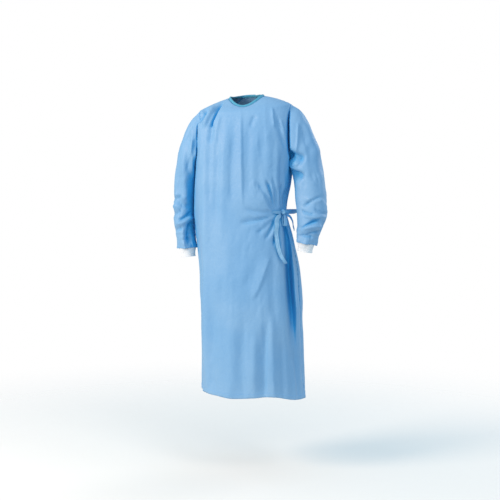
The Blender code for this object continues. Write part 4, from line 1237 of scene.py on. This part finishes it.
def rib_knit(name):
    """White rib knit: columns of small stitches, with painted shade making the gaps between the loops grey.
    """
    material, nodes, shader = new_material(name)
    flat = nodes.add("UVMap", {"uv_map": "flat"}).outputs["UV"]
    here = nodes.add("TexCoord").outputs["Object"]
    parts = nodes.add("SeparateXYZ", Vector=flat)
    across = nodes.math("MULTIPLY", parts.outputs["X"], 2 * math.pi / 0.0013)
    slant = nodes.math("MULTIPLY", nodes.math("ABSOLUTE", nodes.math("SINE", across)), 1.6)
    rows = nodes.math("MULTIPLY_ADD", parts.outputs["Y"], 2 * math.pi / 0.0011, slant)
    loops = nodes.math("MULTIPLY_ADD", nodes.math("SINE", rows), 0.5, 0.5)
    loops = nodes.math("MULTIPLY", loops, nodes.math("ABSOLUTE", nodes.math("SINE", across)))
    fuzz = nodes.noise(here, 1600.0, 3.0, 0.7)
    broad = nodes.ramp(nodes.noise(here, 60.0, 2.0, 0.5), 0.3, 0.7)
    # Painted shade: white on the stitch loops, darker grey in the gaps between them.
    tone = nodes.mix(loops, (0.80, 0.76, 0.76, 1.0), (1.0, 0.96, 0.93, 1.0))
    tone = nodes.mix(nodes.math("MULTIPLY", broad, 0.25), tone, (0.92, 0.88, 0.88, 1.0))
    nodes.put(shader, "Base Color", tone)
    nodes.put(shader, "Roughness", nodes.math("MULTIPLY_ADD", fuzz, 0.15, 0.78))
    height = nodes.math("MULTIPLY_ADD", fuzz, 0.4, loops)
    bump = nodes.add("Bump", Strength=0.8, Distance=0.0003, Height=height)
    nodes.put(shader, "Normal", bump.outputs["Normal"])
    shader.inputs["Sheen Weight"].default_value = 0.35
    shader.inputs["Sheen Roughness"].default_value = 0.5
    shader.inputs["Specular IOR Level"].default_value = 0.3
    return material


def thread(name, dark, light):
    """Twisted sewing thread."""
    material, nodes, shader = new_material(name)
    here = nodes.add("TexCoord").outputs["Object"]
    twist = nodes.add("TexWave", {"bands_direction": "DIAGONAL"}, Vector=here, Scale=900.0)
    fuzz = nodes.noise(here, 2500.0, 2.0, 0.6)
    nodes.put(shader, "Base Color", nodes.mix(twist.outputs["Fac"], dark, light))
    nodes.put(shader, "Roughness", nodes.math("MULTIPLY_ADD", fuzz, 0.2, 0.5))
    bump = nodes.add("Bump", Strength=0.5, Distance=0.0001, Height=twist.outputs["Fac"])
    nodes.put(shader, "Normal", bump.outputs["Normal"])
    return material


def floor_paper(name):
    material, nodes, shader = new_material(name)
    here = nodes.add("TexCoord").outputs["Object"]
    speck = nodes.noise(here, 3.0, 3.0, 0.5)
    tone = nodes.mix(speck, (0.98, 0.87, 0.79, 1.0), (1.0, 0.89, 0.81, 1.0))
    nodes.put(shader, "Base Color", tone)
    shader.inputs["Roughness"].default_value = 0.9
    level = nodes.vector("MULTIPLY", here, (1.0, 1.0, 0.0))
    away = nodes.vector("LENGTH", level)
    nodes.put(shader, "Alpha", nodes.ramp(away, 0.2, FLOOR_EDGE * 0.7, 1.0, 0.0))
    return material


def set_camera():
    """The camera at the picture's viewing angle: a little to the wearer's left, waist high."""
    data = bpy.data.cameras.new("camera")
    camera = bpy.data.objects.new("camera", data)
    bpy.context.scene.collection.objects.link(camera)
    aside = Vector((math.cos(VIEW_TURN), math.sin(VIEW_TURN), 0.0)) * (3 * PIXEL)
    spot = Vector((math.sin(VIEW_TURN), -math.cos(VIEW_TURN), 0.0)) * 4.0
    spot = spot + Vector((0.0, 0.0, -0.40)) + aside
    target = Vector((0.0, 0.0, -0.6156)) + aside
    camera.location = spot
    camera.rotation_euler = (target - spot).to_track_quat("-Z", "Y").to_euler()
    data.lens, data.sensor_width = 71.1, 36.0
    bpy.context.scene.camera = camera


def soft_light(name, spot, size, power, colour=(1.0, 1.0, 1.0)):
    data = bpy.data.lights.new(name, "AREA")
    data.shape, data.size, data.energy, data.color = "DISK", size, power, colour
    light = bpy.data.objects.new(name, data)
    bpy.context.scene.collection.objects.link(light)
    light.location = spot
    towards = Vector((0.0, 0.0, -0.62)) - Vector(spot)
    light.rotation_euler = towards.to_track_quat("-Z", "Y").to_euler()


def set_studio():
    """Plain pale floor, white surroundings and soft lamps, the strongest at the camera's left."""
    scene = bpy.context.scene
    scene.view_settings.view_transform = "Standard"
    world = bpy.data.worlds.new("studio")
    scene.world = world
    world.use_nodes = True
    nodes = Nodes(world.node_tree)
    lit = world.node_tree.nodes["Background"]
    lit.inputs["Color"].default_value = (0.57, 0.92, 1.19, 1.0)
    lit.inputs["Strength"].default_value = WORLD_LIGHT
    backdrop = nodes.add("Background", Color=(1.0, 1.0, 1.0, 1.0), Strength=1.0)
    direct = nodes.add("LightPath").outputs["Is Camera Ray"]
    both = nodes.add("MixShader")
    for name, value in (("0", direct), ("1", lit.outputs[0]), ("2", backdrop.outputs[0])):
        nodes.put(both, name, value)
    ends = world.node_tree.nodes["World Output"]
    nodes.put(ends, "Surface", both.outputs[0])
    bm = bmesh.new()
    bmesh.ops.create_circle(bm, cap_ends=True, segments=96, radius=FLOOR_EDGE)
    for vert in bm.verts:
        vert.co.z = FLOOR
    floor = add_object("floor", bm, floor_paper("floor_paper"))
    soft_light("key", (-2.9, -2.4, 1.0), 1.6, KEY_LIGHT, (1.0, 0.85, 0.70))
    soft_light("front", (0.3, -4.0, 0.9), 2.4, FRONT_LIGHT, (1.0, 0.96, 0.90))
    soft_light("high", (1.8, -2.2, 2.4), 1.6, HIGH_LIGHT)
    soft_light("back", (2.4, 3.0, 1.2), 2.0, BACK_LIGHT)


FLOOR = -1.508
FLOOR_EDGE = 4.0  # the floor fades into the white surroundings before this
WORLD_LIGHT, KEY_LIGHT, FRONT_LIGHT, HIGH_LIGHT, BACK_LIGHT = 0.62, 128.0, 28.0, 24.0, 40.0

set_camera()
set_studio()

GOWN = nonwoven(
    "gown_nonwoven", (0.10, 0.29, 0.56, 1), (0.17, 0.37, 0.60, 1), (0.22, 0.41, 0.62, 1), 0.56, 0.08
)
TIE = nonwoven(
    "tie_nonwoven", (0.10, 0.31, 0.56, 1), (0.19, 0.43, 0.65, 1), (0.27, 0.50, 0.70, 1), 0.56, 0.25
)
TAPE = nonwoven(
    "neck_tape", (0.01, 0.17, 0.31, 1), (0.03, 0.29, 0.44, 1), (0.06, 0.35, 0.50, 1), 0.5, 0.1
)
KNIT = rib_knit("cuff_rib_knit")
THREAD = thread("sewing_thread", (0.13, 0.36, 0.68, 1), (0.30, 0.56, 0.86, 1))
TEAL_THREAD = thread("tape_thread", (0.03, 0.26, 0.42, 1), (0.10, 0.44, 0.60, 1))


def declare(piece, node, with_pieces=()):
    """Attaches a piece and the pieces sewn to it to the root body, and hides the solid it stands for."""
    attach(piece, "root")
    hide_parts(node)
    for more in with_pieces:
        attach(more, "root")


def build_gown():
    left = lambda level: armhole_angle("left", level)
    right = lambda level: 180.0 + armhole_angle("right", level)
    front, front_flat = panel(
        left, lambda level: 180.0 - armhole_angle("right", level), front_shares, no_layer,
        ("left", "right", "hem"), 1,
    )
    shares = lambda level: np.linspace(0, 1, BACK_COLUMNS + 1)
    outer, outer_flat = panel(
        right, back_edge("outer"), shares, outer_layer, ("seam", "hem", "hem"), 2
    )
    inner, inner_flat = panel(
        back_edge("inner"), lambda level: 360.0 - armhole_angle("left", level), shares, inner_layer,
        ("hem", "seam", "hem"), 3,
    )
    pieces = (
        ("front_cloth", "gown_front", front, front_flat, (0.0035, -0.0035), (0.85, 1.20), 0.75),
        ("back_right_cloth", "gown_back_right", outer, outer_flat, (0.0035, -0.0100), (0.60, 1.20), 0.62),
        ("back_left_cloth", "gown_back_left", inner, inner_flat, (0.0100, -0.0035), (0.60, 1.20), 0.58),
    )
    for name, node, points, flat, sides, cut, area in pieces:
        piece = cloth(name, points, flat, SHELL, GOWN, flip=True)
        lines = [line_at(points, 1, distance) for distance in sides]
        lines.append(line_at(points, 0, HEM_DEPTH - 0.0025))
        sewn = stitches(name.replace("cloth", "stitches"), lines, THREAD)
        declare(piece, node, with_pieces=[sewn])

    tape, tape_flat = binding(front, outer, inner)
    piece = cloth("neck_tape", tape, tape_flat, 0.0005, TAPE, flip=True)
    sewn = stitches("neck_tape_stitches", [tape[2]], TEAL_THREAD, 0.0030, 0.0003)
    declare(piece, "neck_binding", with_pieces=[sewn])

    rings = {
        "left": armhole_ring(front[:, 0], inner[:, -1]),
        "right": armhole_ring(front[:, -1], outer[:, 0]),
    }
    for side, ring in rings.items():
        points, flat = sleeve(side, ring, 90 if side == "left" else 95)
        piece = cloth("sleeve_cloth_" + side, points, flat, SHELL, GOWN, tube=True, flip=side == "right")
        closed = np.concatenate([points, points[:, :1]], axis=1)
        lines = [line_at(closed, 0, 0.0040), line_at(closed, 0, -0.0045)]
        sewn = stitches("sleeve_stitches_" + side, lines, THREAD)
        declare(piece, "sleeve_" + side, with_pieces=[sewn])
        points, flat = cuff(side)
        piece = cloth("cuff_knit_" + side, points, flat, 0.0009, KNIT, tube=True, flip=side == "right")
        declare(piece, "cuff_" + side)


def build_belt():
    for number, (name, route) in enumerate(TIES.items()):
        points, flat = tie(route, number + 101)
        piece = cloth(name + "_cloth", points, flat, TIE_SHELL, TIE, middle=True)
        lines = [points[1] + 0.0, points[-2] + 0.0]
        sewn = stitches(name + "_stitches", lines, THREAD, 0.0036, 0.0003)
        declare(piece, name, with_pieces=[sewn])
    piece = knot(TIE)
    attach(piece, "root")
    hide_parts("belt_knot")


build_gown()
build_belt()
